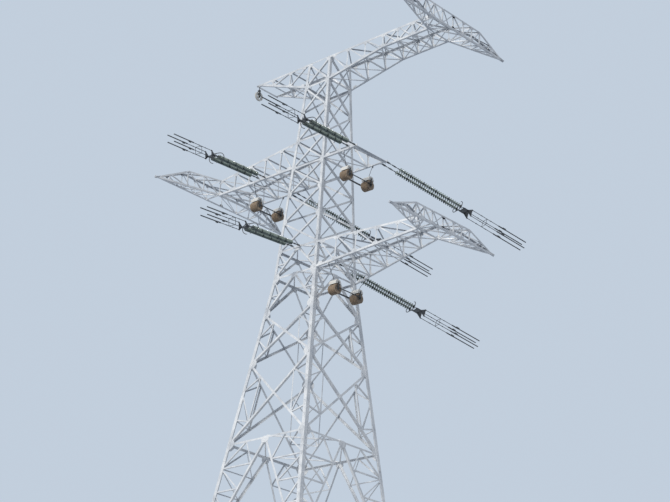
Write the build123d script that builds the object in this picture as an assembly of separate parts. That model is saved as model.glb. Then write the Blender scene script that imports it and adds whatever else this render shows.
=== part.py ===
"""Lattice strain tower of a power line, with its insulator strings and stringing blocks.

+X runs along the crossarms to the right, +Y along the line away from the viewer, +Z up.
The origin is on the ground at the middle of the four feet. Lengths are in millimetres.
"""
from build123d import *
import math
import os

# Heights of the body's panels, from the feet up
foot_panel_height = 7500
foot_sub_panels = 5
large_cross_height = 5270
small_cross_height = 3340
waist_height = 2465
lower_arm_height = 1850
shaft_panel_heights = [2075, 1990, 1920, 1980, 2045, 2020, 1820]

# Widths of the square body, from leg corner to leg corner
foot_width = 8480
waist_width = 3710
top_width = 2000

# Steel angles: flange width and thickness
leg_low_width, leg_low_thick = 250, 24
leg_high_width, leg_high_thick = 200, 18
belt_width, belt_thick = 125, 10
low_brace_width, low_brace_thick = 140, 12
high_brace_width, high_brace_thick = 110, 10
small_brace_width, small_brace_thick = 80, 7
chord_width, chord_thick = 140, 12
web_width, web_thick = 80, 7
lacing_width, lacing_thick = 75, 6
end_chord_width, end_chord_thick = 110, 10
end_web_width, end_web_thick = 63, 6

# Clearances
seat_gap = 0.3
edge_gap = 8
node_inset = 35
tip_edge = 0.1
weld_lap = 1
web_step = 1.3

# Where the finer braces of the lower body meet the legs and the diagonals
large_cross_leg_nodes = [1640, 3420]
large_cross_low_node_half = 1800
large_cross_high_node_half = 1440
small_cross_leg_node = 1705
small_cross_low_node_half = 1380
small_cross_high_node_half = 1130

# Crossarms: panel points from the tower's axis, and the end frame's outer side
top_arm_points = [2600, 4150, 5700, 6970, 8230, 9500]
top_arm_knee = 5700
top_arm_end_depth = 1050
top_arm_outer = 10740
top_arm_end_half = 1050
mid_arm_points = [2650, 4100, 5550, 6950, 8350]
mid_arm_end_depth = 1150
mid_arm_outer = 9700
mid_arm_end_half = 1428
lower_arm_points = [3240, 4770, 6300, 7860, 9320]
lower_arm_end_depth = 900
lower_arm_outer = 10550
lower_arm_end_half = 1000
short_arm_point = 2750
short_arm_tip = 4250
earth_arm_points = [2700, 4350]
earth_arm_tip = 5950
arm_end_bar_width = 120

# End frames: the frames' distances from the axis, the last with a level top, and the tip
top_end_frames = [1850, 2650, 3850]
top_end_knee = 2650
top_end_tip = 5100
mid_end_frames = [2580, 3750, 5020]
mid_end_knee = 3750
mid_end_tip = 6080
lower_end_frames = [1750, 2500, 3750]
lower_end_knee = 2500
lower_end_tip = 4870

# Feet
base_plate_size = 760
base_plate_thick = 40
base_plate_centre = 4125
anchor_spacing = 560
anchor_hole_radius = 22
foot_rib_height = 300
foot_rib_thick = 20

# Insulator strings
line_turn = 17.0
front_string_slope = 12.2
back_string_slope = 15.0
string_spacing = 480
disc_count = 30
disc_pitch = 168
disc_radius = 150
disc_skirt_thick = 42
disc_cap_radius = 52
disc_cap_length = 92
disc_pin_radius = 20
string_link_length = 1000
string_arm_place = 4000
string_left_place = 4100
bracket_length = 760
bracket_height = 130
bracket_thick = 30
pin_reach = 175
pin_radius = 16
pin_clearance = 0.1
lug_thick = 24
lug_radius = 46
cheek_thick = 16
cheek_gap = 3
cheek_length = 230
link_radius = 17
yoke_gap = 180
yoke_length = 420
yoke_thick = 26
yoke_overhang = 90
bundle_spacing = 450
splitter_length = 380
rod_length = 2150
rod_radius = 19
clamp_length = 2300
clamp_radius = 34
clamp_lug_length = 260
clamp_lug_width = 90
clamp_lug_thick = 18
ring_length = 1080
ring_height = 620
ring_tube_radius = 24
ring_setback = 150
ring_stay_radius = 14
ring_stay_lap = 60

# Stringing blocks, hung in pairs below the arms
block_half_distance = 1000
block_drop = 1480
sheave_radius = 330
sheave_groove_depth = 75
sheave_width = 112
sheave_count = 5
sheave_gap = 6
axle_radius = 35
axle_clearance = 0.1
hub_wall = 45
block_side_gap = 10
block_plate_thick = 16
block_plate_width = 110
block_top_height = 470
block_top_thick = 60
block_top_width = 120
sling_radius = 16
strut_width = 75
strut_thick = 8
strut_lift = 60
hanger_depth = 95
hanger_width = 80
hanger_thick = 20
hanger_flange_thick = 14
hanger_pin_radius = 18
hanger_pin_length = 100
eye_thick = 24
eye_radius = 42
eye_clearance = 1.0
front_block_place = 3150
left_block_place = 5000
low_block_place = 2770

# The single block for the earth wire, under its arm's near tip
earth_block_place = 5800
earth_block_drop = 700
earth_wheel_rim_depth = 95
earth_wheel_web_thick = 24
earth_wheel_hole_radius = 58
earth_wheel_hole_count = 6

# Values that follow from the sizes above
panel_heights = [foot_panel_height, large_cross_height, small_cross_height, waist_height,
                 lower_arm_height] + shaft_panel_heights
level = [sum(panel_heights[:count]) for count in range(len(panel_heights) + 1)]
waist_z = level[4]
top_z = level[12]
low_corner_gap = leg_low_thick + low_brace_thick + edge_gap
high_corner_gap = leg_high_thick + belt_thick + edge_gap
low_margin = leg_low_thick + low_brace_width + edge_gap
high_margin = leg_high_thick + belt_width + edge_gap
lacing_corner_gap = chord_thick + web_thick + 2 * edge_gap
lacing_margin = chord_thick + web_width + 2 * edge_gap
web_stem_gap = chord_thick + lacing_thick + edge_gap
upright_layer, falling_layer, rising_layer = (chord_thick - weld_lap - web_step * number
                                              for number in range(3))
far_away = 3 * top_z


def half_width(z):
    """Half the body's width at a height."""
    if z < waist_z:
        share = z / waist_z
        return (foot_width + (waist_width - foot_width) * share) / 2
    share = (z - waist_z) / (top_z - waist_z)
    return (waist_width + (top_width - waist_width) * share) / 2


def side_slope(z):
    """How far the body's side leans in for each unit of height."""
    if z < waist_z:
        return (foot_width - waist_width) / 2 / waist_z
    return (waist_width - top_width) / 2 / (top_z - waist_z)


def solid_from(points, direction):
    """A prism whose end is a polygon and whose edges follow a direction."""
    along = Vector(*direction)
    corners = [Vector(*point) for point in points]
    normal = (corners[1] - corners[0]).cross(corners[2] - corners[1])
    if normal.dot(along) < 0:
        corners.reverse()
    outline = Polyline(*corners, close=True)
    return Solid.extrude(Face(Wire(outline.edges())), along)


def angle_parts(start, end, outward, across, width, thick, layer=0.0, centred=True,
                inward=None):
    """The two flanges of a steel angle: the one that faces outward, and its inward stem."""
    first, last = Vector(*start), Vector(*end)
    along = (last - first).normalized()
    out = Vector(*outward)
    out = (out - along * out.dot(along)).normalized()
    side = along.cross(out)
    if side.dot(Vector(*across)) < 0:
        side = side * -1
    stem_way = out * -1
    if inward is not None:
        stem_way = Vector(*inward)
        stem_way = (stem_way - along * stem_way.dot(along)).normalized()
    first = first - out * layer
    heel = -width / 2 if centred else 0.0
    flat = [first + side * across_by - out * in_by
            for across_by, in_by in ((heel, 0), (heel + width, 0), (heel + width, thick),
                                     (heel, thick))]
    stem = [first + side * across_by + stem_way * in_by
            for across_by, in_by in ((heel, thick / 2), (heel + thick, thick / 2),
                                     (heel + thick, width), (heel, width))]
    run = tuple(last + out * -layer - first)
    return [solid_from([tuple(corner) for corner in profile], run) for profile in (flat, stem)]


def angle_bar(*arguments, **options):
    """A whole steel angle."""
    return joined(angle_parts(*arguments, **options))


def trimmed(bars, flat_window, stem_window):
    """Angles fused where they cross, the outer flanges running further than the stems."""
    flats = joined([flat for flat, stem in bars]) & flat_window
    stems = joined([stem for flat, stem in bars]) & stem_window
    return joined(solids_of([flats, stems]))


def rod(start, end, radius):
    """A round bar between two points."""
    first, last = Vector(*start), Vector(*end)
    along = last - first
    return Solid.make_cylinder(radius, along.length, Plane(origin=first, z_dir=along.normalized()))


def block_between(low, high):
    """A box with its sides along the axes."""
    size = [top - bottom for bottom, top in zip(low, high)]
    return Pos(*low) * Solid.make_box(*size)


def wall_prism(outline, low_y=-far_away, high_y=far_away):
    """A window cut in the plane of X and Z, drawn out along Y."""
    points = [(x, low_y, z) for x, z in outline]
    return solid_from(points, (0, high_y - low_y, 0))


def floor_prism(outline, low_z=-far_away, high_z=far_away):
    """A window cut in the plane of X and Y, drawn out along Z."""
    points = [(x, y, low_z) for x, y in outline]
    return solid_from(points, (0, 0, high_z - low_z))


def joined(pieces):
    """Pieces fused where they meet."""
    return pieces[0].fuse(*pieces[1:]) if len(pieces) > 1 else pieces[0]


def solids_of(shape):
    """The solids in a shape or in a list of shapes."""
    if isinstance(shape, (list, tuple)):
        return [solid for item in shape for solid in solids_of(item)]
    return list(shape.solids())


def save(name, shape):
    """Write one node, with all its solids."""
    solids = solids_of(shape)
    node = solids[0] if len(solids) == 1 else Compound(children=solids)
    node.label = name
    export_step(node, "parts/" + name + ".step")


# Body

def front_point(x, z):
    """A point on the body's front side."""
    return (x, -half_width(z), z)


def front_outward(z):
    """The direction that the body's front side faces."""
    return (0, -1, side_slope(z))


def face_bar(start, end, width, thick, leg_thick, across=(0, 0, 1), inward=None):
    """A brace of the front side, behind the legs' flanges, from and to (x, z)."""
    middle = (start[1] + end[1]) / 2
    return angle_parts(front_point(*start), front_point(*end), front_outward(middle), across,
                       width, thick, layer=leg_thick + seat_gap, inward=inward)


def belt(z, leg_thick):
    """A belt of the front side, with its inward flange level and at the top."""
    half = half_width(z)
    return face_bar((-half, z), (half, z), belt_width, belt_thick, leg_thick, across=(0, 0, -1),
                    inward=(0, 1, 0))


def belt_top(z):
    """The height of the level upper face of a belt."""
    return z + belt_width / 2 / math.hypot(1, side_slope(z))


def on_line(start, end, x):
    """The height at which the line between two (x, z) points passes x."""
    return start[1] + (end[1] - start[1]) * (x - start[0]) / (end[0] - start[0])


def cross_bars(low, high, width, thick, leg_thick):
    """The two crossing diagonals of one panel."""
    low_half, high_half = half_width(low), half_width(high)
    return [face_bar((-side * low_half, low), (side * high_half, high), width, thick, leg_thick)
            for side in (-1, 1)]


def vee_bars(low, high, width, thick, leg_thick):
    """An upturned V from the middle of the upper belt, with its small braces."""
    low_half, high_half = half_width(low), half_width(high)
    middle = (low + high) / 2
    bars = []
    for side in (-1, 1):
        brace_point = (side * low_half / 2, middle)
        bars.append(face_bar((0, high), (side * low_half, low), width, thick, leg_thick))
        bars.append(face_bar((side * high_half, high), brace_point, small_brace_width,
                             small_brace_thick, leg_thick))
        bars.append(face_bar((side * half_width(middle), middle), brace_point, small_brace_width,
                             small_brace_thick, leg_thick))
    return bars


def small_bar(start, end):
    """A small brace of the lower body."""
    return face_bar(start, end, small_brace_width, small_brace_thick, leg_low_thick)


def large_cross_braces(side):
    """The small braces beside the large cross, on one side of it."""
    low, high = level[1], level[2]
    low_corner = (side * half_width(low), low)
    high_corner = (side * half_width(high), high)
    low_x = side * large_cross_low_node_half
    high_x = side * large_cross_high_node_half
    low_node = (low_x, on_line(low_corner, (-side * half_width(high), high), low_x))
    high_node = (high_x, on_line((-low_corner[0], low), high_corner, high_x))
    low_leg, high_leg = [(side * half_width(low + rise), low + rise)
                         for rise in large_cross_leg_nodes]
    return [small_bar(high_node, high_leg), small_bar(high_node, low_node),
            small_bar(high_leg, low_node), small_bar(low_node, low_leg)]


def small_cross_braces(side):
    """The small braces beside the upper cross of the lower body."""
    low, high = level[2], level[3]
    low_x = side * small_cross_low_node_half
    high_x = side * small_cross_high_node_half
    low_node = (low_x, on_line((side * half_width(low), low),
                               (-side * half_width(high), high), low_x))
    high_node = (high_x, on_line((-side * half_width(low), low),
                                 (side * half_width(high), high), high_x))
    leg_z = low + small_cross_leg_node
    leg_node = (side * half_width(leg_z), leg_z)
    return [small_bar(leg_node, high_node), small_bar(leg_node, low_node),
            small_bar(high_node, low_node)]


def side_window(low, high, margin):
    """The part of a side that bracing may fill, clear of the neighbouring sides' bracing."""
    heights = [low, high]
    right = [(half_width(z) - margin, z) for z in heights]
    left = [(-x, z) for x, z in reversed(right)]
    return wall_prism(right + left, high_y=0)


def lower_side():
    """The front side from the foot panels up to the waist belt."""
    bars = [belt(level[1], leg_low_thick), belt(level[4], leg_low_thick)]
    bars += cross_bars(level[1], level[2], low_brace_width, low_brace_thick, leg_low_thick)
    bars += cross_bars(level[2], level[3], low_brace_width, low_brace_thick, leg_low_thick)
    bars += vee_bars(level[3], level[4], low_brace_width, low_brace_thick, leg_low_thick)
    for side in (-1, 1):
        bars += large_cross_braces(side)
        bars += small_cross_braces(side)
    low, high = level[1] - belt_width / 2, level[4] + belt_width / 2
    return trimmed(bars, side_window(low, high, low_corner_gap), side_window(low, high, low_margin))


def upper_side():
    """The front side from the waist belt to the top."""
    belts = [level[5], level[8], level[9], level[11], level[12]]
    bars = [belt(z, leg_high_thick) for z in belts]
    bars += vee_bars(level[4], level[5], high_brace_width, high_brace_thick, leg_high_thick)
    for number in range(5, 12):
        bars += cross_bars(level[number], level[number + 1], high_brace_width, high_brace_thick,
                           leg_high_thick)
    low = waist_z + belt_width / 2 + seat_gap
    return trimmed(bars, side_window(low, top_z, high_corner_gap),
                   side_window(low, top_z, high_margin))


def foot_bracing():
    """The foot panel's bracing beside the front right leg, on the front side."""
    top = level[1]
    foot_half, top_half = half_width(0), half_width(top)
    step = foot_panel_height / foot_sub_panels
    diagonal = [(foot_half * number / foot_sub_panels, top - step * number)
                for number in range(foot_sub_panels + 1)]
    leg = [(half_width(top - step * number), top - step * number)
           for number in range(foot_sub_panels)]
    quarter = (top_half / 2, top)
    bars = [face_bar(diagonal[0], diagonal[-1], low_brace_width, low_brace_thick, leg_low_thick)]
    bars += [small_bar(quarter, leg[1]), small_bar(quarter, diagonal[1])]
    for number in range(1, foot_sub_panels):
        bars.append(small_bar(leg[number], diagonal[number]))
    for number in range(1, foot_sub_panels - 1):
        bars.append(small_bar(leg[number], diagonal[number + 1]))
    low = base_plate_thick + foot_rib_height + edge_gap
    high = top - belt_width / 2 - seat_gap
    windows = [wall_prism([(edge_gap, high), (half_width(high) - margin, high),
                           (half_width(low) - margin, low), (edge_gap, low)], high_y=0)
               for margin in (low_corner_gap, low_margin)]
    return trimmed(bars, *windows)


def leg_piece(low, high, width, thick, side_x, side_y):
    """One straight length of a leg angle, with its heel on the body's corner."""
    low_half, high_half = half_width(low), half_width(high)
    heel = Vector(side_x * low_half, side_y * low_half, low)
    top = Vector(side_x * high_half, side_y * high_half, high)
    profile = [(0, 0), (width, 0), (width, thick), (thick, thick), (thick, width), (0, width)]
    corners = [(heel.X - side_x * x, heel.Y - side_y * y, low) for x, y in profile]
    return solid_from(corners, tuple(top - heel))


def foot_plate(side_x, side_y):
    """A base plate with its anchor holes and the ribs that stiffen the leg's foot."""
    heel = half_width(base_plate_thick)
    centre_x = side_x * base_plate_centre
    centre_y = side_y * base_plate_centre
    plate = Pos(centre_x, centre_y, base_plate_thick / 2) * Box(
        base_plate_size, base_plate_size, base_plate_thick)
    for step_x in (-1, 1):
        for step_y in (-1, 1):
            hole = Pos(centre_x + step_x * anchor_spacing / 2, centre_y + step_y * anchor_spacing / 2,
                       base_plate_thick / 2) * Cylinder(anchor_hole_radius, 2 * base_plate_thick)
            plate = plate - hole
    rib_top = base_plate_thick + foot_rib_height
    reach = base_plate_centre + base_plate_size / 2 - heel
    low = base_plate_thick - seat_gap
    ribs = []
    for across_x in (True, False):
        rib = [(0, low), (reach, low), (0, rib_top)]
        corners = [(side_x * (heel + along), side_y * heel, z) if across_x
                   else (side_x * heel, side_y * (heel + along), z) for along, z in rib]
        push = (0, -side_y * foot_rib_thick, 0) if across_x else (-side_x * foot_rib_thick, 0, 0)
        back = [(corner[0] - side_x * foot_rib_thick * 2, corner[1], corner[2]) if across_x
                else (corner[0], corner[1] - side_y * foot_rib_thick * 2, corner[2])
                for corner in (corners[2], corners[0])]
        ribs.append(solid_from(corners + back, push))
    return joined([plate.solids()[0]] + ribs)


def leg(side_x, side_y):
    """A whole leg, from its base plate to the top."""
    pieces = [leg_piece(base_plate_thick - seat_gap, waist_z, leg_low_width, leg_low_thick,
                        side_x, side_y),
              leg_piece(waist_z, top_z, leg_high_width, leg_high_thick, side_x, side_y),
              foot_plate(side_x, side_y)]
    return joined(pieces)


def plan_ring(z, leg_thick):
    """A level diamond between the middles of the belts, lying on the belts' flanges."""
    half = half_width(z)
    seat = belt_top(z) + seat_gap
    corners = [(0, -half, seat), (half, 0, seat), (0, half, seat), (-half, 0, seat)]
    bars = []
    for number, start in enumerate(corners):
        end = corners[(number + 1) % len(corners)]
        inward = (-(start[0] + end[0]), -(start[1] + end[1]), 0)
        bars.append(angle_bar(start, end, (0, 0, -1), inward, small_brace_width,
                              small_brace_thick))
    limit = half_width(seat) - leg_thick - belt_thick - edge_gap
    window = block_between((-limit, -limit, seat - 1), (limit, limit, seat + small_brace_width + 1))
    return joined(bars) & window


# Crossarms, built towards +X

class Arm:
    """The places of one crossarm's chords: straight runs of (x, z) above and below."""

    def __init__(self, top_line, bottom_line, end_half):
        self.top_line = top_line
        self.bottom_line = bottom_line
        top_z, bottom_z = top_line[0][1], bottom_line[0][1]
        self.lean = (half_width(bottom_z) - half_width(top_z)) / (top_z - bottom_z)
        self.start_half = half_width(bottom_z)
        self.start_z = bottom_z
        self.start_x = half_width(bottom_z)
        end_x, end_z = bottom_line[-1]
        end_from_lean = self.start_half - self.lean * (end_z - bottom_z)
        self.taper = (end_from_lean - end_half) / (end_x - self.start_x)

    def half(self, x, z):
        """Half the arm's depth along the line, at a point of its near side."""
        return self.start_half - self.lean * (z - self.start_z) - self.taper * (x - self.start_x)

    def near(self, x, z):
        """A point on the arm's near side."""
        return (x, -self.half(x, z), z)

    def top(self, x):
        """The top chord's height."""
        return height_on(self.top_line, x)

    def bottom(self, x):
        """The bottom chord's height."""
        return height_on(self.bottom_line, x)

    def outward(self):
        """The direction that the near side faces."""
        return (self.taper, -1, self.lean)

    def reach_with_depth(self, depth):
        """How far out the chords are still this far apart."""
        end = self.top_line[-1][0]
        end_depth = self.top(end) - self.bottom(end)
        if end_depth >= depth:
            return end
        start_depth = self.top(self.start_x) - self.bottom(self.start_x)
        return end - (end - self.start_x) * (depth - end_depth) / (start_depth - end_depth)


def height_on(line, x):
    """The height of a line of straight runs at x."""
    for start, end in zip(line, line[1:]):
        if x <= end[0]:
            return on_line(start, end, x)
    return line[-1][1]


def arm_outline(arm, end_x, inset):
    """The side view of an arm from the body to its end, drawn in from its chords."""
    end_x = min(end_x - seat_gap, arm.reach_with_depth(2 * inset + tip_edge))
    top, bottom = arm.top_line, arm.bottom_line
    above = [(half_width(top[0][1]) + seat_gap, top[0][1])] + top[1:-1]
    below = [(half_width(bottom[0][1]) + seat_gap, bottom[0][1])] + bottom[1:-1]
    above.append((end_x, arm.top(end_x)))
    below.append((end_x, arm.bottom(end_x)))
    return [(x, z - inset) for x, z in above] + [(x, z + inset) for x, z in reversed(below)]


def arm_side(arm, points, end_x, rising, crossed_from=None):
    """The near side of an arm: chords, uprights and diagonals, as one flat truss."""
    chords = []
    for line, across in ((arm.top_line, (0, 0, -1)), (arm.bottom_line, (0, 0, 1))):
        for start, end in zip(line, line[1:]):
            run = block_between((start[0], -far_away, 0), (end[0], 0, far_away))
            chords.append(run & angle_bar(arm.near(*start), arm.near(*end), arm.outward(), across,
                                          chord_width, chord_thick, centred=False,
                                          inward=(0, 1, 0)))
    webs = []
    places = [arm.start_x] + points
    for x in points:
        if arm.top(x) - arm.bottom(x) > chord_width and x < end_x:
            webs.append(angle_parts(arm.near(x, arm.bottom(x)), arm.near(x, arm.top(x)),
                                    arm.outward(), (1, 0, 0), web_width, web_thick,
                                    upright_layer))
    for inner, outer in zip(places, places[1:]):
        inner_top, inner_bottom = arm.near(inner, arm.top(inner)), arm.near(inner, arm.bottom(inner))
        outer_top, outer_bottom = arm.near(outer, arm.top(outer)), arm.near(outer, arm.bottom(outer))
        both = crossed_from is not None and inner >= crossed_from
        if both or not rising:
            webs.append(angle_parts(inner_top, outer_bottom, arm.outward(), (0, 0, 1), web_width,
                                    web_thick, falling_layer))
        if both or rising:
            webs.append(angle_parts(inner_bottom, outer_top, arm.outward(), (0, 0, 1), web_width,
                                    web_thick, rising_layer))
    whole = wall_prism(arm_outline(arm, end_x, -seat_gap / 2))
    truss = trimmed(webs, wall_prism(arm_outline(arm, end_x, chord_thick / 2)),
                    wall_prism(arm_outline(arm, end_x, web_stem_gap)))
    return joined(solids_of([joined(chords) & whole, truss]))


def plane_normal(start, end, up):
    """The upward or downward normal of a plane that holds Y and a line of X and Z."""
    run, rise = end[0] - start[0], end[1] - start[1]
    return (-rise, 0, run) if up else (rise, 0, -run)


def arm_lacing(arm, line, points, up, crossed, framed=False):
    """The lacing between the near and far chords, up to an end frame or short of the tip."""
    places = [arm.start_x] + [x for x in points if x <= arm.reach_with_depth(1.4 * chord_width)]
    nodes = [arm.near(x, height_on(line, x)) for x in places]
    bars = []
    for number, (inner, outer) in enumerate(zip(nodes, nodes[1:])):
        outward = plane_normal((inner[0], inner[2]), (outer[0], outer[2]), up)
        flip = 1 if number % 2 else -1
        pairs = [(flip, -flip), (-flip, flip)] if crossed else [(flip, -flip)]
        for first, second in pairs:
            bars.append(angle_parts((inner[0], first * inner[1], inner[2]),
                                    (outer[0], second * outer[1], outer[2]),
                                    outward, (1, 0, 0), lacing_width, lacing_thick,
                                    chord_thick + seat_gap))
        if not framed or number < len(nodes) - 2:
            bars.append(angle_parts(outer, (outer[0], -outer[1], outer[2]), outward, (-1, 0, 0),
                                    lacing_width, lacing_thick, chord_thick + seat_gap))
    start_z = line[0][1]
    start = half_width(start_z) + seat_gap + (lacing_width + chord_thick) * side_slope(start_z) + 1
    end = places[-1] - seat_gap if framed else places[-1] + lacing_width
    turns = [start] + [x for x, z in line[1:-1] if x < end] + [end]
    windows = []
    for margin in (lacing_corner_gap, lacing_margin):
        rim = [(x, arm.half(x, height_on(line, x)) - margin) for x in turns]
        windows.append(floor_prism(rim + [(x, -y) for x, y in reversed(rim)]))
    inset = 0.5 * chord_thick
    return trimmed(bars, *windows) & wall_prism(arm_outline(arm, end, inset))


def end_bar(arm, tip, width):
    """The bar that joins an arm's near and far tips."""
    z = arm.top(tip)
    half = arm.half(tip, z)
    low = (tip, -half, z)
    high = (tip, half, z)
    return angle_bar(low, high, (-1, 0, 0), (0, 0, -1), width, chord_thick, centred=False)


def end_frame(arm, inner_x, outer_x, frames, knee, tip):
    """The long frame across an arm's end, from tip to tip along the line."""
    bottom_z = arm.bottom(inner_x)
    top_z = arm.top(inner_x)
    bottom_half = arm.half(inner_x, bottom_z)
    top_half = arm.half(inner_x, top_z)

    def inner(y):
        reach = max(abs(y) - bottom_half, 0) / (tip - bottom_half)
        return inner_x + (outer_x - inner_x) * reach

    def top(y):
        fall = max(abs(y) - knee, 0) / (tip - knee)
        return top_z + (bottom_z - top_z) * fall

    def chord(start, end, out, across):
        bars.append(angle_bar(start, end, out, across, end_chord_width, end_chord_thick,
                              centred=False))

    def brace(start, end, out, across=(0, 0, 1)):
        reach = (Vector(*end) - Vector(*start)).normalized() * node_inset
        bars.append(angle_bar(tuple(Vector(*start) + reach), tuple(Vector(*end) - reach), out,
                              across, end_web_width, end_web_thick, end_chord_thick))

    bars = []
    chord((outer_x, -tip, bottom_z), (outer_x, tip, bottom_z), (1, 0, 0), (0, 0, 1))
    chord((outer_x, -knee, top_z), (outer_x, knee, top_z), (1, 0, 0), (0, 0, -1))
    chord((inner_x, -bottom_half, bottom_z), (inner_x, bottom_half, bottom_z), (-1, 0, 0), (0, 0, 1))
    chord((inner_x, -bottom_half, top_z), (inner_x, bottom_half, top_z), (-1, 0, 0), (0, 0, -1))
    brace((outer_x, 0, bottom_z), (outer_x, 0, top_z), (1, 0, 0), (0, 1, 0))
    brace((inner_x, -bottom_half, bottom_z), (inner_x, top_half, top_z), (-1, 0, 0))
    for side in (-1, 1):
        brace((outer_x, side * bottom_half, bottom_z), (outer_x, 0, top_z), (1, 0, 0))
        chord((outer_x, side * knee, top_z), (outer_x, side * tip, bottom_z), (1, 0, 0), (0, 0, -1))
        corner = (inner_x, side * bottom_half, bottom_z)
        knee_point = (inner(knee), side * knee, top_z)
        tip_point = (outer_x, side * tip, bottom_z)
        chord(corner, tip_point, (-1, 0, 0), (0, 0, 1))
        chord((inner_x, side * bottom_half, top_z), knee_point, (-1, 0, 0), (0, 0, -1))
        chord(knee_point, tip_point, (-1, 0, 0), (0, 0, -1))
        places = [bottom_half] + frames
        for number, y in enumerate(places):
            top_y = top_half if number == 0 else y
            low_in, low_out = (inner(y), side * y, bottom_z), (outer_x, side * y, bottom_z)
            high_in, high_out = (inner(top_y), side * top_y, top(y)), (outer_x, side * top_y, top(y))
            brace(low_in, low_out, (0, 0, -1), (0, 1, 0))
            brace(high_in, high_out, (0, 0, 1), (0, 1, 0))
            if top(y) - bottom_z > 2 * end_web_width:
                brace(low_out, high_out, (1, 0, 0), (0, 1, 0))
                brace(low_in, high_in, (-1, 0, 0), (0, 1, 0))
            if number:
                before = places[number - 1]
                last_in = (inner(before), side * before, bottom_z)
                brace(last_in, low_out, (0, 0, -1))
                brace((outer_x, side * before, bottom_z), high_out, (1, 0, 0))
                brace(last_in, high_in, (-1, 0, 0))
                brace((inner(before), side * before, top(before)), high_out, (0, 0, 1))
    brace((inner_x, -bottom_half, bottom_z), (outer_x, bottom_half, bottom_z), (0, 0, -1))
    brace((inner_x, bottom_half, top_z), (outer_x, -bottom_half, top_z), (0, 0, 1))
    return joined(bars) & wall_prism([(inner_x, 0), (2 * outer_x, 0), (2 * outer_x, top_z),
                                      (inner_x, top_z)])


# Insulator strings, along +X of their own frame, with the hinge pin along Y at the origin

def disc_line(offset):
    """One line of insulator discs on its caps and pins."""
    profile = []
    start = string_link_length
    for number in range(disc_count):
        x = start + number * disc_pitch
        profile += [(x, disc_cap_radius), (x + disc_cap_length - disc_skirt_thick, disc_cap_radius),
                    (x + disc_cap_length, disc_radius), (x + disc_cap_length + disc_skirt_thick,
                                                         disc_radius - 12),
                    (x + disc_cap_length + disc_skirt_thick, disc_pin_radius),
                    (x + disc_pitch, disc_pin_radius)]
    end = start + disc_count * disc_pitch
    outline = [(start, 0)] + profile + [(end, 0)]
    face = Face(Wire(Polyline(*[(x, y, 0) for x, y in outline], close=True).edges()))
    return Pos(0, offset, 0) * Solid.revolve(face, 360, Axis.X)


def string_discs():
    """The two lines of discs of a string."""
    return [disc_line(side * string_spacing / 2) for side in (-1, 1)]


def clevis(offset):
    """The clevis, its pin and the links that reach the first disc."""
    pieces = []
    inner = lug_thick / 2 + cheek_gap
    for side in (-1, 1):
        low, high = sorted((side * inner, side * (inner + cheek_thick)))
        pieces.append(block_between((0, offset + low, -lug_radius), (cheek_length, offset + high,
                                                                     lug_radius)))
        pieces.append(rod((0, offset + low, 0), (0, offset + high, 0), lug_radius))
    reach = inner + cheek_thick + 14
    pieces.append(rod((0, offset - reach, 0), (0, offset + reach, 0), pin_radius))
    outer = inner + cheek_thick
    pieces.append(block_between((cheek_length - 60, offset - outer, -lug_radius),
                                (cheek_length, offset + outer, lug_radius)))
    pieces.append(rod((cheek_length - 5, offset, 0), (string_link_length - seat_gap, offset, 0),
                      link_radius))
    middle = (cheek_length + string_link_length) / 2
    pieces.append(block_between((middle - 90, offset - 14, -45), (middle + 90, offset + 14, 45)))
    return joined(pieces)


def grading_ring(x, yoke_x):
    """A rounded ring round both lines at the live end, on two stays to the yoke."""
    half_length, half_height = ring_length / 2, ring_height / 2
    radius = half_height
    straight = half_length - radius
    pieces = []
    for side in (-1, 1):
        pieces.append(rod((x, -straight, side * half_height), (x, straight, side * half_height),
                          ring_tube_radius))
        arc_plane = Plane(origin=(x, side * straight, 0), x_dir=(0, 0, 1), z_dir=(side, 0, 0))
        bend = Solid.make_torus(radius, ring_tube_radius, arc_plane)
        low, high = sorted((side * straight, side * (half_length + 2 * ring_tube_radius)))
        keep = block_between((x - 100, low, -half_height - 100), (x + 100, high, half_height + 100))
        pieces += solids_of(bend & keep)
        pieces.append(rod((x, 0, side * half_height), (yoke_x + ring_stay_lap, 0, 0),
                          ring_stay_radius))
    return joined(pieces)


def live_end():
    """The yoke, the splitter plates, the rods and the dead-end clamps."""
    discs_end = string_link_length + disc_count * disc_pitch
    yoke_start = discs_end + yoke_gap
    half = string_spacing / 2
    pieces = []
    for side in (-1, 1):
        pieces.append(rod((discs_end + seat_gap, side * half, 0), (yoke_start + 60, side * half, 0),
                          link_radius))
        pieces.append(block_between((yoke_start - 60, side * half - 22, -38),
                                    (yoke_start + 60, side * half + 22, 38)))
    wide = half + yoke_overhang
    pieces.append(block_between((yoke_start, -wide, -yoke_thick / 2),
                                (yoke_start + yoke_length, wide, yoke_thick / 2)))
    bundle = bundle_spacing / 2
    split_start = yoke_start + yoke_length - 120
    split_end = split_start + splitter_length
    rod_end = split_end + rod_length
    for side in (-1, 1):
        y = side * bundle
        plate = [(split_start, y - 12, -40), (split_start, y - 12, 40),
                 (split_end, y - 12, bundle + 55), (split_end, y - 12, -bundle - 55)]
        pieces.append(solid_from(plate, (0, 24, 0)))
        for lift in (-1, 1):
            z = lift * bundle
            pieces.append(rod((split_end - 60, y, z), (rod_end + 20, y, z), rod_radius))
            pieces.append(rod((rod_end, y, z), (rod_end + clamp_length, y, z), clamp_radius))
            lug_x = rod_end + 350
            pieces.append(block_between((lug_x, y - clamp_lug_thick / 2, z - clamp_lug_width),
                                        (lug_x + clamp_lug_length, y + clamp_lug_thick / 2, z)))
    pieces.append(grading_ring(discs_end - ring_setback, yoke_start))
    return joined(pieces)


def string_fittings():
    """The steel pieces of a string, at both ends of its discs."""
    half = string_spacing / 2
    return [clevis(-half), clevis(half)] + solids_of(live_end())


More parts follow.
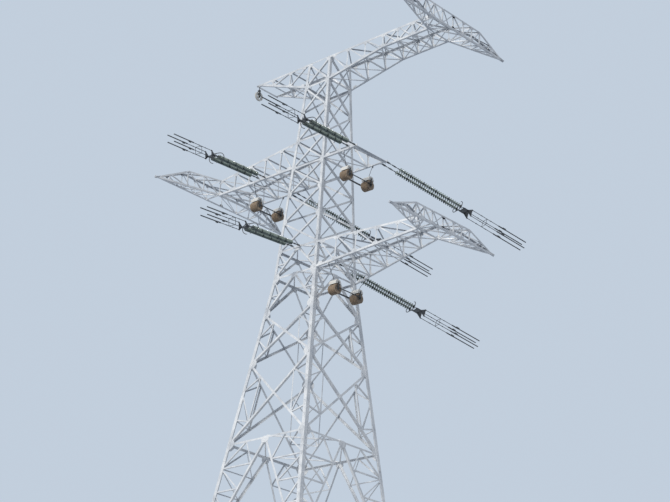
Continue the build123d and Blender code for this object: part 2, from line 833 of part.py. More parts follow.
def string_frame(x, z, side_y, slope):
    """The frame of a string: origin at its pin, X along the string, Y along the pin."""
    turn = math.radians(line_turn)
    tilt = math.radians(slope)
    y = side_y * (half_width(z) + pin_reach)
    along = Vector(math.sin(turn) * math.cos(tilt), side_y * math.cos(turn) * math.cos(tilt),
                   -math.sin(tilt))
    pin = Vector(math.cos(turn), -side_y * math.sin(turn), 0)
    return Plane(origin=(x, y, z), x_dir=along, z_dir=along.cross(pin))


def string_bracket(x, z, side_y, seat_depth):
    """The plate and lugs that hold one string, on the front or the back."""
    slope = side_slope(z)
    lean = math.sqrt(1 + slope * slope)
    plane = Plane(origin=(x, -half_width(z), z), x_dir=(1, 0, 0), z_dir=(0, -1 / lean, slope / lean))
    plate_depth = bracket_thick + seat_depth
    plate = plane.location * (Pos(0, 0, plate_depth / 2 - seat_depth + seat_gap)
                              * Solid.make_box(bracket_length, bracket_height, plate_depth,
                                               Plane(origin=(-bracket_length / 2,
                                                             -bracket_height / 2,
                                                             -plate_depth / 2))))
    pieces = [plate]
    turn = math.radians(line_turn)
    along = Vector(math.sin(turn), -math.cos(turn), 0)
    pin = Vector(math.cos(turn), math.sin(turn), 0)
    plate_y = plate.center().Y
    for side in (-1, 1):
        centre = Vector(x, -half_width(z) - pin_reach, z) + pin * (side * string_spacing / 2)
        reach = (plate_y - centre.Y) / math.cos(turn)
        box_plane = Plane(origin=centre - pin * (lug_thick / 2), x_dir=along * -1, z_dir=pin)
        arm = box_plane.location * block_between((0, -lug_radius, 0), (reach, lug_radius, lug_thick))
        eye = Solid.make_cylinder(lug_radius, lug_thick, box_plane)
        lug = arm.fuse(eye)
        hole = Solid.make_cylinder(pin_radius + pin_clearance, 3 * lug_thick,
                                   Plane(origin=centre - pin * (1.5 * lug_thick), z_dir=pin))
        pieces.append(lug - hole)
    shape = joined(solids_of(pieces))
    return shape.mirror(Plane.XZ) if side_y > 0 else shape


# Stringing blocks: built round (0, 0, 0) at the hinge line, which runs along Y

def wheels_width(count):
    """The width of a block's wheels side by side."""
    return count * sheave_width + (count - 1) * sheave_gap


def sheave_set(side_y):
    """Five grooved wheels side by side on one hub."""
    total = wheels_width(sheave_count)
    start = -total / 2
    bore = axle_radius + axle_clearance
    hub = axle_radius + hub_wall
    outline = [(start, bore)]
    for number in range(sheave_count):
        x = start + number * (sheave_width + sheave_gap)
        outline += [(x, sheave_radius), (x + 14, sheave_radius),
                    (x + sheave_width / 2 - 14, sheave_radius - sheave_groove_depth),
                    (x + sheave_width / 2 + 14, sheave_radius - sheave_groove_depth),
                    (x + sheave_width - 14, sheave_radius), (x + sheave_width, sheave_radius)]
        if number < sheave_count - 1:
            outline += [(x + sheave_width, hub), (x + sheave_width + sheave_gap, hub)]
    outline.append((start + total, bore))
    face = Face(Wire(Polyline(*[(x, y, 0) for x, y in outline], close=True).edges()))
    return Pos(0, side_y * block_half_distance, -block_drop) * Solid.revolve(face, 360, Axis.X)


def earth_wheel():
    """The earth wire's single grooved wheel, with holes through its web."""
    bore, hub = axle_radius + axle_clearance, axle_radius + hub_wall
    rim, groove = sheave_radius - earth_wheel_rim_depth, sheave_radius - sheave_groove_depth
    half, web = sheave_width / 2, earth_wheel_web_thick / 2
    right = [(14, groove), (half - 14, sheave_radius), (half, sheave_radius), (half, rim),
             (web, rim), (web, hub), (half, hub), (half, bore)]
    outline = right + [(-x, radius) for x, radius in reversed(right)]
    face = Face(Wire(Polyline(*[(x, y, 0) for x, y in outline], close=True).edges()))
    wheel = Solid.revolve(face, 360, Axis.X)
    holes = []
    for number in range(earth_wheel_hole_count):
        turn = math.tau * number / earth_wheel_hole_count
        y, z = (hub + rim) / 2 * math.cos(turn), (hub + rim) / 2 * math.sin(turn)
        holes.append(rod((-half, y, z), (half, y, z), earth_wheel_hole_radius))
    return wheel.cut(*holes)


def block_frame(y, pin_y, drop, count):
    """A block's frame: side plates, axle, top bar, sling and the eye on its pin."""
    z = -drop
    top = z + block_top_height
    inner = wheels_width(count) / 2 + block_side_gap
    outer = inner + block_plate_thick
    pieces = [rod((-outer - 20, y, z), (outer + 20, y, z), axle_radius)]
    for side in (-1, 1):
        low, high = sorted((side * inner, side * outer))
        pieces.append(block_between((low, y - block_plate_width / 2, z - 90),
                                    (high, y + block_plate_width / 2, top)))
    pieces.append(block_between((-outer, y - block_top_width / 2, top - block_top_thick),
                                (outer, y + block_top_width / 2, top)))
    along = Vector(0, y - pin_y, top).normalized()
    start = Vector(0, pin_y, 0) + along * (eye_radius - 4)
    pieces.append(rod(tuple(start), (0, y, top - 10), sling_radius))
    eye = rod((0, pin_y - eye_thick / 2, 0), (0, pin_y + eye_thick / 2, 0), eye_radius)
    hole = rod((0, pin_y - eye_thick, 0), (0, pin_y + eye_thick, 0),
               hanger_pin_radius + eye_clearance)
    frame = joined(pieces + [eye])
    return frame - hole


def block_pair(hinge_y):
    """The frames of a pair of blocks with their struts, as one piece."""
    struts = []
    outer = wheels_width(sheave_count) / 2 + block_side_gap + block_plate_thick
    z = -block_drop + strut_lift
    for side in (-1, 1):
        struts.append(angle_bar((side * outer, -block_half_distance - 60, z),
                                (side * outer, block_half_distance + 60, z),
                                (-side, 0, 0), (0, 0, 1), strut_width, strut_thick))
    frames = [block_frame(side * block_half_distance, side * hinge_y, block_drop, sheave_count)
              for side in (-1, 1)]
    return joined(solids_of(frames) + struts)


def block_hanger(side_y, chord_y, slope):
    """The plate and pin under a chord that hold one sling's eye."""
    tilt = math.atan(slope)
    top = hanger_depth * math.cos(tilt) - seat_gap
    plate_y = side_y * (chord_y - hanger_thick / 2 - 10)
    low, high = sorted((plate_y - hanger_thick / 2, plate_y + hanger_thick / 2))
    plate = block_between((-hanger_width / 2, low, -hanger_pin_radius - 22),
                          (hanger_width / 2, high, top))
    low, high = sorted((side_y * chord_y, side_y * (chord_y - chord_width)))
    flange = block_between((-hanger_width, low, top - hanger_flange_thick),
                           (hanger_width, high, top))
    inner_y = plate_y - side_y * (hanger_thick / 2 + hanger_pin_length)
    pin = rod((0, plate_y, 0), (0, inner_y, 0), hanger_pin_radius)
    head = rod((0, inner_y, 0), (0, inner_y - side_y * 10, 0), hanger_pin_radius + 14)
    return joined([plate, flange, pin, head]).rotate(Axis.Y, -math.degrees(tilt))


def block_seat(x, arm):
    """Where a block hangs below an arm: its place, its hinge's y and its hanger's sizes."""
    chord_z = arm.bottom(abs(x))
    chord_y = arm.half(abs(x), chord_z)
    chord_slope = math.copysign(1, x) * (arm.bottom(abs(x) + 1) - chord_z)
    hinge_y = chord_y - hanger_thick - 10 - hanger_pin_length / 2
    return Pos(x, 0, chord_z - hanger_depth), hinge_y, chord_y, chord_slope


top_arm = Arm([(half_width(level[12]), level[12]), (top_arm_points[-1], level[12])],
              [(half_width(level[11]), level[11]), (top_arm_knee, level[12] - top_arm_end_depth),
               (top_arm_points[-1], level[12] - top_arm_end_depth)], top_arm_end_half)
mid_arm = Arm([(half_width(level[9]), level[9]), (mid_arm_points[-1], level[8] + mid_arm_end_depth)],
              [(half_width(level[8]), level[8]), (mid_arm_points[-1], level[8])], mid_arm_end_half)
lower_arm = Arm([(half_width(level[5]), level[5]), (lower_arm_points[-1], level[5])],
                [(half_width(level[4]), level[4]),
                 (lower_arm_points[-1], level[5] - lower_arm_end_depth)], lower_arm_end_half)
short_arm = Arm([(half_width(level[9]), level[9]), (short_arm_tip, level[8])],
                [(half_width(level[8]), level[8]), (short_arm_tip, level[8])],
                half_width(level[8]))
earth_arm = Arm([(half_width(level[12]), level[12]), (earth_arm_tip, level[12])],
                [(half_width(level[11]), level[11]), (earth_arm_tip, level[12])],
                half_width(level[12]))


def mirrored_left(shape):
    """The same piece on the tower's other side."""
    return [solid.mirror(Plane.YZ) for solid in solids_of(shape)]


def save_arm(name, near_side, lacing, to_left):
    """Write an arm's two sides, and its lacing."""
    near = solids_of(near_side)
    far = [solid.mirror(Plane.XZ) for solid in near]
    for ending, shape in (("_sides", near + far), ("_lacing", solids_of(lacing))):
        save(name + ending, mirrored_left(shape) if to_left else shape)


def save_body():
    """Write the legs and the bracing between them."""
    names = {("front", "left"): (-1, -1), ("front", "right"): (1, -1),
             ("back", "right"): (1, 1), ("back", "left"): (-1, 1)}
    for (depth, side), (side_x, side_y) in names.items():
        save("leg_" + depth + "_" + side, leg(side_x, side_y))
    lower, upper, foot = lower_side(), upper_side(), foot_bracing()
    other_foot = foot.mirror(Plane.YZ)
    for turn, name in enumerate(("front", "right", "back", "left")):
        save(name + "_bracing_low", [lower.rotate(Axis.Z, 90 * turn)])
        save(name + "_bracing_high", [upper.rotate(Axis.Z, 90 * turn)])
    save("foot_bracing", [half.rotate(Axis.Z, 90 * turn) for turn in range(4)
                          for half in (foot, other_foot)])
    save("plan_bracing", [plan_ring(level[1], leg_low_thick), plan_ring(level[4], leg_low_thick),
                          plan_ring(level[5], leg_high_thick)])


def save_arms():
    """Write the five arms and the three long end frames."""
    top_lacing = [arm_lacing(top_arm, top_arm.top_line, top_arm_points, True, False, framed=True),
                  arm_lacing(top_arm, top_arm.bottom_line, top_arm_points, False, True, framed=True)]
    save_arm("top_arm", arm_side(top_arm, top_arm_points, top_arm_points[-1], False, top_arm_knee),
             top_lacing, False)
    mid_lacing = [arm_lacing(mid_arm, mid_arm.top_line, mid_arm_points, True, False, framed=True),
                  arm_lacing(mid_arm, mid_arm.bottom_line, mid_arm_points, False, True, framed=True)]
    save_arm("mid_arm", arm_side(mid_arm, mid_arm_points, mid_arm_points[-1], True), mid_lacing, True)
    low_lacing = [arm_lacing(lower_arm, lower_arm.top_line, lower_arm_points, True, False, framed=True),
                  arm_lacing(lower_arm, lower_arm.bottom_line, lower_arm_points, False, True, framed=True)]
    save_arm("lower_arm", arm_side(lower_arm, lower_arm_points, lower_arm_points[-1], False),
             low_lacing, False)
    short_points = [short_arm_point, short_arm_tip]
    short_lacing = [arm_lacing(short_arm, short_arm.top_line, [short_arm_point], True, False),
                    arm_lacing(short_arm, short_arm.bottom_line, short_points, False, True),
                    end_bar(short_arm, short_arm_tip, arm_end_bar_width)]
    save_arm("short_arm", arm_side(short_arm, short_points, short_arm_tip, False), short_lacing,
             False)
    earth_points = earth_arm_points + [earth_arm_tip]
    earth_lacing = [arm_lacing(earth_arm, earth_arm.top_line, earth_points, True, False),
                    arm_lacing(earth_arm, earth_arm.bottom_line, earth_arm_points, False, False),
                    end_bar(earth_arm, earth_arm_tip, arm_end_bar_width)]
    save_arm("earth_arm", arm_side(earth_arm, earth_points, earth_arm_tip, False), earth_lacing,
             True)
    save("top_arm_end_frame", end_frame(top_arm, top_arm_points[-1], top_arm_outer, top_end_frames,
                                        top_end_knee, top_end_tip))
    save("lower_arm_end_frame", end_frame(lower_arm, lower_arm_points[-1], lower_arm_outer,
                                          lower_end_frames, lower_end_knee, lower_end_tip))
    mid_end = end_frame(mid_arm, mid_arm_points[-1], mid_arm_outer, mid_end_frames, mid_end_knee,
                        mid_end_tip)
    save("mid_arm_end_frame", mirrored_left(mid_end))


def string_places():
    """Where each string is held: name, x, height and how deep its bracket reaches to its seat."""
    chord_middle = level[8] + chord_width / 2
    return [("right", string_arm_place, chord_middle, 0),
            ("left", -string_left_place, chord_middle, 0),
            ("middle", 0, level[5], leg_high_thick)]


def save_strings():
    """Write the strings and the brackets that hold them."""
    discs, fittings = string_discs(), string_fittings()
    brackets = []
    for name, x, z, seat_depth in string_places():
        for depth, side_y, slope in (("front", -1, front_string_slope),
                                     ("back", 1, back_string_slope)):
            place = string_frame(x, z, side_y, slope).location
            save("discs_" + name + "_" + depth, [place * solid for solid in discs])
            save("fittings_" + name + "_" + depth, [place * solid for solid in fittings])
            brackets.append(string_bracket(x, z, side_y, seat_depth))
    save("string_brackets", brackets)


def save_blocks():
    """Write the stringing blocks and the hangers that hold them."""
    hangers = []
    for name, x, arm in (("front", front_block_place, short_arm),
                         ("left", -left_block_place, mid_arm),
                         ("low", low_block_place, lower_arm)):
        place, hinge_y, chord_y, chord_slope = block_seat(x, arm)
        save("block_pair_" + name, [place * solid for solid in solids_of(block_pair(hinge_y))])
        for depth, side_y in (("front", -1), ("back", 1)):
            save("sheaves_" + name + "_" + depth, place * sheave_set(side_y))
            hangers.append(place * block_hanger(side_y, chord_y, chord_slope))
    place, hinge_y, chord_y, chord_slope = block_seat(-earth_block_place, earth_arm)
    save("earth_block", place * block_frame(-hinge_y, -hinge_y, earth_block_drop, 1))
    save("earth_block_wheel", place * Pos(0, -hinge_y, -earth_block_drop) * earth_wheel())
    hangers.append(place * block_hanger(-1, chord_y, chord_slope))
    save("block_hangers", hangers)


os.makedirs("parts", exist_ok=True)
save_body()
save_arms()
save_strings()
save_blocks()
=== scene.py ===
"""Looks of a lattice strain tower with its insulator strings and stringing blocks.

Everything is in metres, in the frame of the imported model: +X along the crossarms, +Y along the
line away from the viewer, +Z up, with the origin on the ground between the four feet.
"""

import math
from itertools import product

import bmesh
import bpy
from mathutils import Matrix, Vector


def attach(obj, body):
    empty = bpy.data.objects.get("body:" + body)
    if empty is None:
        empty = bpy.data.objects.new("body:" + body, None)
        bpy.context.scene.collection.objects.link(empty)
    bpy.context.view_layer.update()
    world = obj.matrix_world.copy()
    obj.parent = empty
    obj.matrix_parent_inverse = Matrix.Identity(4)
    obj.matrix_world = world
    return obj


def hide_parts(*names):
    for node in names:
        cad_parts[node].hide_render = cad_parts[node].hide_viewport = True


bl_info = {
    "name": "Lattice strain tower",
    "version": (1, 0, 0),
    "blender": (4, 5, 0),
    "location": "3D View > Sidebar > Tower",
    "description": "Dresses a lattice power line tower with plates, bolts, insulators and blocks",
    "category": "Object",
}

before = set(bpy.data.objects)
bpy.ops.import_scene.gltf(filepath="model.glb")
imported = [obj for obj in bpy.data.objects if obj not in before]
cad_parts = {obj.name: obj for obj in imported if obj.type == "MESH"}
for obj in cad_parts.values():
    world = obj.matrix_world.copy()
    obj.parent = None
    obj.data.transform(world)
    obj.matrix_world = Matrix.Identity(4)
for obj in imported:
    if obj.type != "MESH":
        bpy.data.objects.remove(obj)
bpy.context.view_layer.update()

PHOTO_WIDTH = 670

# Body: panel heights from the feet up, and widths between the leg corners
PANEL_HEIGHTS = [7.5, 5.27, 3.34, 2.465, 1.85, 2.075, 1.99, 1.92, 1.98, 2.045, 2.02, 1.82]
LEVEL = [sum(PANEL_HEIGHTS[:count]) for count in range(len(PANEL_HEIGHTS) + 1)]
WAIST = LEVEL[4]
TOP = LEVEL[12]
FOOT_HALF, WAIST_HALF, TOP_HALF = 4.24, 1.855, 1.0
LEG_LOW_FLANGE, LEG_LOW_THICK = 0.25, 0.024
LEG_HIGH_FLANGE, LEG_HIGH_THICK = 0.20, 0.018
FOOT_SUB_PANELS = 5
BELT_LEVELS = [1, 4, 5, 8, 9, 11, 12]
CROSSED_PANELS = [1, 2, 5, 6, 7, 8, 9, 10, 11]
LARGE_CROSS_LEG_NODES = [1.64, 3.42]
LARGE_CROSS_LOW_NODE, LARGE_CROSS_HIGH_NODE = 1.8, 1.44
SMALL_CROSS_LEG_NODE = 1.705
SMALL_CROSS_LOW_NODE, SMALL_CROSS_HIGH_NODE = 1.38, 1.13
SPLICES = [LEVEL[1] - 0.75, LEVEL[3] + 0.7, LEVEL[5] + 0.75, LEVEL[9] + 0.7]
# Plates on the middles of belts: height, plate's width and height
BELT_PLATES = [(LEVEL[1] - 0.12, 0.62, 0.42), (LEVEL[4] - 0.08, 0.5, 0.34),
               (LEVEL[5] - 0.08, 0.46, 0.3)]
TOP_PLATE_DROP, TOP_PLATE_HEIGHT = 0.16, 0.15
LARGE_CROSS_PLATE, SMALL_CROSS_PLATE = 0.26, 0.15
CHORD_FLANGE = 0.14
WEB_DEPTH = 0.0082
SKIN_GAP = 0.0003
BOLT_HEAD_HEIGHT, BOLT_TAPER = 0.014, 0.86
BASE_CLEARANCE = 0.5
SLOPE_STEP = 0.01

# Feet
PLATE_CENTRE = 4.125
PLATE_THICK = 0.04
ANCHOR_SPACING = 0.56

# Insulator strings
LINE_TURN = math.radians(17.0)
FRONT_SLOPE, BACK_SLOPE = math.radians(12.2), math.radians(15.0)
STRING_SPACING = 0.48
LINK_LENGTH = 1.0
DISC_PITCH = 0.168
DISC_COUNT = 30
DISCS_A_GROUP = 6
PIN_REACH = 0.175
YOKE_GAP, YOKE_LENGTH, YOKE_THICK = 0.18, 0.42, 0.026
YOKE_START = LINK_LENGTH + DISC_COUNT * DISC_PITCH + YOKE_GAP
BUNDLE_SPACING = 0.45
SPLITTER_LENGTH, SPLITTER_OVERLAP = 0.38, 0.12
ROD_LENGTH, CLAMP_RADIUS = 2.15, 0.034

# Stringing blocks
FRONT_BLOCKS_X, LEFT_BLOCKS_X, LOW_BLOCKS_X = 3.15, 5.0, 2.77
BLOCK_HALF_DISTANCE = 1.0
BLOCK_DROP = 1.48
SHEAVE_RADIUS, SHEAVE_WIDTH, SHEAVE_GAP, SHEAVE_COUNT = 0.33, 0.112, 0.006, 5
WHEELS_WIDTH = SHEAVE_COUNT * SHEAVE_WIDTH + (SHEAVE_COUNT - 1) * SHEAVE_GAP
SIDE_PLATE_REACH = 0.026
AXLE_RADIUS = 0.035
HANGER_DEPTH, HINGE_INSET = 0.095, 0.08
EARTH_BLOCK_X, EARTH_BLOCK_DROP = 5.8, 0.70

# Stage
FLOOR_THICK = 0.05
CAMERA_PLACE = (71.04, -70.33, -21.56)
CAMERA_YAW, CAMERA_PITCH, CAMERA_ROLL = 0.779, 0.401, 0.065
FOCAL_PIXELS = 1694.97
SENSOR_WIDTH = 36.0


def half_width(z):
    """Half the body's width at a height."""
    if z < WAIST:
        return FOOT_HALF + (WAIST_HALF - FOOT_HALF) * z / WAIST
    return WAIST_HALF + (TOP_HALF - WAIST_HALF) * (z - WAIST) / (TOP - WAIST)


def side_slope(z):
    """How far the body's side leans in for each metre of height."""
    if z < WAIST:
        return (FOOT_HALF - WAIST_HALF) / WAIST
    return (WAIST_HALF - TOP_HALF) / (TOP - WAIST)


def leg_sizes(z):
    """The leg's flange width and thickness at a height."""
    if z < WAIST:
        return LEG_LOW_FLANGE, LEG_LOW_THICK
    return LEG_HIGH_FLANGE, LEG_HIGH_THICK


def between(start, end, x):
    """The height at which the line between two (x, z) points passes x."""
    return start[1] + (end[1] - start[1]) * (x - start[0]) / (end[0] - start[0])


def axes_matrix(origin, x_way, y_way, z_way):
    """A matrix from an origin and three directions."""
    turn = Matrix((x_way, y_way, z_way)).transposed().to_4x4()
    return Matrix.Translation(Vector(origin)) @ turn


def shifted(place, x, y, z):
    """A frame moved along its own axes."""
    return place @ Matrix.Translation((x, y, z))


# Mesh helpers

def mirrored(points):
    """One half of an outline, with its other half added."""
    return points + [(-x, y) for x, y in reversed(points)]


def collar(half_length, bore, radius):
    """The profile of a turned collar."""
    return mirrored([(-half_length, bore), (-half_length, radius)])


def thicken(bm, face, push):
    """Give a flat face a thickness."""
    grown = bmesh.ops.extrude_face_region(bm, geom=[face])["geom"]
    moved = [item for item in grown if isinstance(item, bmesh.types.BMVert)]
    bmesh.ops.translate(bm, verts=moved, vec=push)


def add_plate(bm, matrix, outline, thick):
    """A flat plate: an outline in the frame's XY plane, thickened along its Z."""
    face = bm.faces.new([bm.verts.new(matrix @ Vector((x, y, 0))) for x, y in outline])
    thicken(bm, face, matrix.to_3x3() @ Vector((0, 0, thick)))


def add_bolt(bm, matrix, radius, height):
    """A hexagonal head that stands on the frame's XY plane."""
    bmesh.ops.create_cone(bm, cap_ends=True, segments=6, radius1=radius,
                          radius2=radius * BOLT_TAPER, depth=height,
                          matrix=shifted(matrix, 0, 0, height / 2))


def steel():
    """The settings of the tower's steel."""
    return bpy.context.scene.tower_steel


def steel_bolt(bm, matrix):
    """A bolt head of the tower's usual size."""
    add_bolt(bm, matrix, steel().bolt_radius, BOLT_HEAD_HEIGHT)


def points_along(start, end, reaches):
    """Points of a run between two (x, z) points, at distances from its start."""
    run = Vector((end[0] - start[0], end[1] - start[1])).normalized()
    return [(start[0] + run[0] * reach, start[1] + run[1] * reach) for reach in reaches]


def add_rod(bm, place, start, end, radius, segments=8):
    """A round bar between two points of a frame."""
    start, end = place @ Vector(start), place @ Vector(end)
    along = end - start
    turn = along.to_track_quat("Z", "Y").to_matrix().to_4x4()
    made = bmesh.ops.create_cone(bm, cap_ends=True, segments=segments, radius1=radius,
                                 radius2=radius, depth=along.length,
                                 matrix=Matrix.Translation((start + end) / 2) @ turn)
    for face in {face for vert in made["verts"] for face in vert.link_faces}:
        face.smooth = len(face.verts) == 4


def add_box(bm, matrix, size, bevel):
    """A box with its edges eased."""
    made = bmesh.ops.create_cube(bm, size=1.0, matrix=matrix @ Matrix.Diagonal((*size, 1)))
    edges = {edge for vert in made["verts"] for edge in vert.link_edges}
    bmesh.ops.bevel(bm, geom=list(edges), offset=bevel, offset_type="OFFSET", segments=1,
                    profile=0.5, affect="EDGES", material=-1, clamp_overlap=True)


def add_turned(bm, matrix, profile, segments, slot=0):
    """A turned shape round the frame's X axis, from (x, radius) points."""
    verts = [bm.verts.new(matrix @ Vector((x, 0, radius))) for x, radius in profile]
    edges = [bm.edges.new(pair) for pair in zip(verts, verts[1:])]
    axis = matrix.to_3x3() @ Vector((1, 0, 0))
    before = set(bm.faces)
    bmesh.ops.spin(bm, geom=verts + edges, cent=matrix.translation, axis=axis, dvec=(0, 0, 0),
                   angle=math.tau, steps=segments, use_merge=True, use_duplicate=False)
    for face in set(bm.faces) - before:
        face.smooth = True
        face.material_index = slot


def add_object(name, data):
    """An object in the scene that holds some data."""
    made = bpy.data.objects.new(name, data)
    bpy.context.scene.collection.objects.link(made)
    return made


def make_object(name, bm, materials):
    """Turn a finished bmesh into an object."""
    bmesh.ops.recalc_face_normals(bm, faces=bm.faces)
    mesh = bpy.data.meshes.new(name)
    bm.to_mesh(mesh)
    bm.free()
    for material in materials:
        mesh.materials.append(material)
    return add_object(name, mesh)


def make_piece(name, bm, materials, body):
    """Turn a finished bmesh into an object that rides on a body."""
    piece = make_object(name, bm, materials)
    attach(piece, body)
    return piece


def steel_piece(name, bm):
    """A finished piece of the tower's own zinc."""
    make_piece(name, bm, [steel_material()], "tower")


def fitting_piece(name, bm, body):
    """A finished piece of dark fitting steel."""
    make_piece(name, bm, [dark_steel_and_shade_material()], body)


# Places on the body

def side_frame(turn, x, z, lift=0.0):
    """A place on one side of the body: X along the side, Y up it, Z outward."""
    slope = side_slope(z)
    up = Vector((0, slope, 1)).normalized()
    out = Vector((0, -1, slope)).normalized()
    origin = Vector((x, -half_width(z), z)) + out * lift
    return Matrix.Rotation(math.pi / 2 * turn, 4, "Z") @ axes_matrix(origin, (1, 0, 0), up, out)


def leg_node(side, z):
    """A place on a leg's corner."""
    return (side * half_width(z), z)


def vee_braces(low, high):
    """The two slopes of an upturned V."""
    return [((0, high), leg_node(side, low)) for side in (-1, 1)]


def main_braces():
    """The large braces of one side of the body, each from and to (x, z)."""
    braces = [(leg_node(-1, LEVEL[n]), leg_node(1, LEVEL[n])) for n in BELT_LEVELS]
    braces += vee_braces(0.0, LEVEL[1])
    for number in CROSSED_PANELS:
        braces += [(leg_node(-side, LEVEL[number]), leg_node(side, LEVEL[number + 1]))
                   for side in (-1, 1)]
    for number in (3, 4):
        braces += vee_braces(LEVEL[number], LEVEL[number + 1])
    return braces


def cross_node_braces(side, low, high, leg_heights, low_x, high_x):
    """The small braces beside a cross, on one side of it."""
    low_node = (side * low_x, between(leg_node(side, low), leg_node(-side, high), side * low_x))
    high_node = (side * high_x, between(leg_node(-side, low), leg_node(side, high),
                                        side * high_x))
    legs = [leg_node(side, low + height) for height in leg_heights]
    return [(legs[-1], high_node), (legs[-1], low_node), (legs[0], low_node),
            (high_node, low_node)]


def small_braces():
    """The small braces of one side of the body."""
    braces = []
    step = LEVEL[1] / FOOT_SUB_PANELS
    for side in (-1, 1):
        slope = [(side * FOOT_HALF * n / FOOT_SUB_PANELS, LEVEL[1] - step * n)
                 for n in range(FOOT_SUB_PANELS + 1)]
        leg = [leg_node(side, LEVEL[1] - step * n) for n in range(FOOT_SUB_PANELS)]
        quarter = (side * half_width(LEVEL[1]) / 2, LEVEL[1])
        braces += [(quarter, leg[1]), (quarter, slope[1])]
        braces += [(leg[n], slope[n]) for n in range(1, FOOT_SUB_PANELS)]
        braces += [(leg[n], slope[n + 1]) for n in range(1, FOOT_SUB_PANELS - 1)]
        braces += cross_node_braces(side, LEVEL[1], LEVEL[2], LARGE_CROSS_LEG_NODES,
                                    LARGE_CROSS_LOW_NODE, LARGE_CROSS_HIGH_NODE)
        braces += cross_node_braces(side, LEVEL[2], LEVEL[3], [SMALL_CROSS_LEG_NODE],
                                    SMALL_CROSS_LOW_NODE, SMALL_CROSS_HIGH_NODE)
        for low, high in ((LEVEL[3], LEVEL[4]), (LEVEL[4], LEVEL[5])):
            middle = (low + high) / 2
            brace_point = (side * half_width(low) / 2, middle)
            braces += [(leg_node(side, high), brace_point), (leg_node(side, middle), brace_point)]
    return braces


# Crossarms

class Arm:
    """The chords of one crossarm, as runs of (x, z) above and below."""

    def __init__(self, name, left, points, top_line, bottom_line, end_half, rising=False,
                 crossed_from=99.0):
        self.name, self.sign, self.points = name, -1 if left else 1, points
        self.top_line, self.bottom_line = top_line, bottom_line
        self.rising, self.crossed_from = rising, crossed_from
        (top_x, top_z), (self.start_x, self.start_z) = top_line[0], bottom_line[0]
        self.lean = (self.start_x - top_x) / (top_z - self.start_z)
        end_x, end_z = bottom_line[-1]
        straight_half = self.start_x - self.lean * (end_z - self.start_z)
        self.taper = (straight_half - end_half) / (end_x - self.start_x)

    def height(self, line, x):
        """The height of a chord at x."""
        for start, end in zip(line, line[1:]):
            if x <= end[0]:
                return between(start, end, x)
        return line[-1][1]

    def depth(self, x):
        """The distance between both chords at x."""
        return self.height(self.top_line, x) - self.height(self.bottom_line, x)

    def place(self, x, z, depth_side):
        """A point on the near or far side; the left arms are built mirrored."""
        half = self.start_x - self.lean * (z - self.start_z) - self.taper * (x - self.start_x)
        return Vector((self.sign * x, depth_side * half, z))

    def out(self, depth_side):
        """The direction that a side faces."""
        return Vector((self.taper * self.sign, depth_side, self.lean)).normalized()

    def webs(self):
        """The uprights and diagonals of a side, each from and to (x, z)."""
        places = [self.start_x] + self.points
        top = [(x, self.height(self.top_line, x)) for x in places]
        bottom = [(x, self.height(self.bottom_line, x)) for x in places]
        webs = []
        for n in range(1, len(places)):
            if top[n][1] - bottom[n][1] > CHORD_FLANGE:
                webs.append((bottom[n], top[n]))
            both = places[n - 1] >= self.crossed_from
            if both or not self.rising:
                webs.append((top[n - 1], bottom[n]))
            if both or self.rising:
                webs.append((bottom[n - 1], top[n]))
        return webs


def body_point(level):
    """The body's right corner at a level, as (x, z)."""
    return leg_node(1, LEVEL[level])


EARTH_ARM = Arm("earth_arm", True, [2.7, 4.35, 5.95], [body_point(12), (5.95, TOP)],
                [body_point(11), (5.95, TOP)], TOP_HALF)
TOP_ARM = Arm("top_arm", False, [2.6, 4.15, 5.7, 6.97, 8.23, 9.5], [body_point(12), (9.5, TOP)],
              [body_point(11), (5.7, TOP - 1.05), (9.5, TOP - 1.05)], 1.05, crossed_from=5.7)
MID_ARM = Arm("mid_arm", True, [2.65, 4.1, 5.55, 6.95, 8.35],
              [body_point(9), (8.35, LEVEL[8] + 1.15)], [body_point(8), (8.35, LEVEL[8])], 1.428,
              rising=True)
SHORT_ARM = Arm("short_arm", False, [2.75, 4.25], [body_point(9), (4.25, LEVEL[8])],
                [body_point(8), (4.25, LEVEL[8])], half_width(LEVEL[8]))
LOWER_ARM = Arm("lower_arm", False, [3.24, 4.77, 6.3, 7.86, 9.32],
                [body_point(5), (9.32, LEVEL[5])], [body_point(4), (9.32, LEVEL[5] - 0.9)], 1.0)
ARMS = [EARTH_ARM, TOP_ARM, MID_ARM, SHORT_ARM, LOWER_ARM]

# End frames: arm, outer x, frames' distances, knee and tip
END_FRAMES = [(TOP_ARM, 10.74, [1.85, 2.65, 3.85], 2.65, 5.1),
              (MID_ARM, 9.7, [2.58, 3.75, 5.02], 3.75, 6.08),
              (LOWER_ARM, 10.55, [1.75, 2.5, 3.75], 2.5, 4.87)]


# Strings and blocks

def strings():
    """Each string's name and frame: origin at its pin, X along the string, Y along the pin."""
    chord_middle = LEVEL[8] + CHORD_FLANGE / 2
    for name, x, z in (("_right", 4.0, chord_middle), ("_left", -4.1, chord_middle),
                       ("_middle", 0.0, LEVEL[5])):
        for depth, side, slope in (("_front", -1, FRONT_SLOPE), ("_back", 1, BACK_SLOPE)):
            along = Vector((math.sin(LINE_TURN) * math.cos(slope),
                            side * math.cos(LINE_TURN) * math.cos(slope), -math.sin(slope)))
            pin = Vector((math.cos(LINE_TURN), -side * math.sin(LINE_TURN), 0))
            origin = (x, side * (half_width(z) + PIN_REACH), z)
            yield name + depth, axes_matrix(origin, along, pin, along.cross(pin))


def earth_block_place():
    """The middle of the earth block's wheel."""
    height = EARTH_ARM.height(EARTH_ARM.bottom_line, EARTH_BLOCK_X)
    seat = EARTH_ARM.place(EARTH_BLOCK_X, height, -1)
    return Matrix.Translation(seat + Vector((0, HINGE_INSET, -HANGER_DEPTH - EARTH_BLOCK_DROP)))


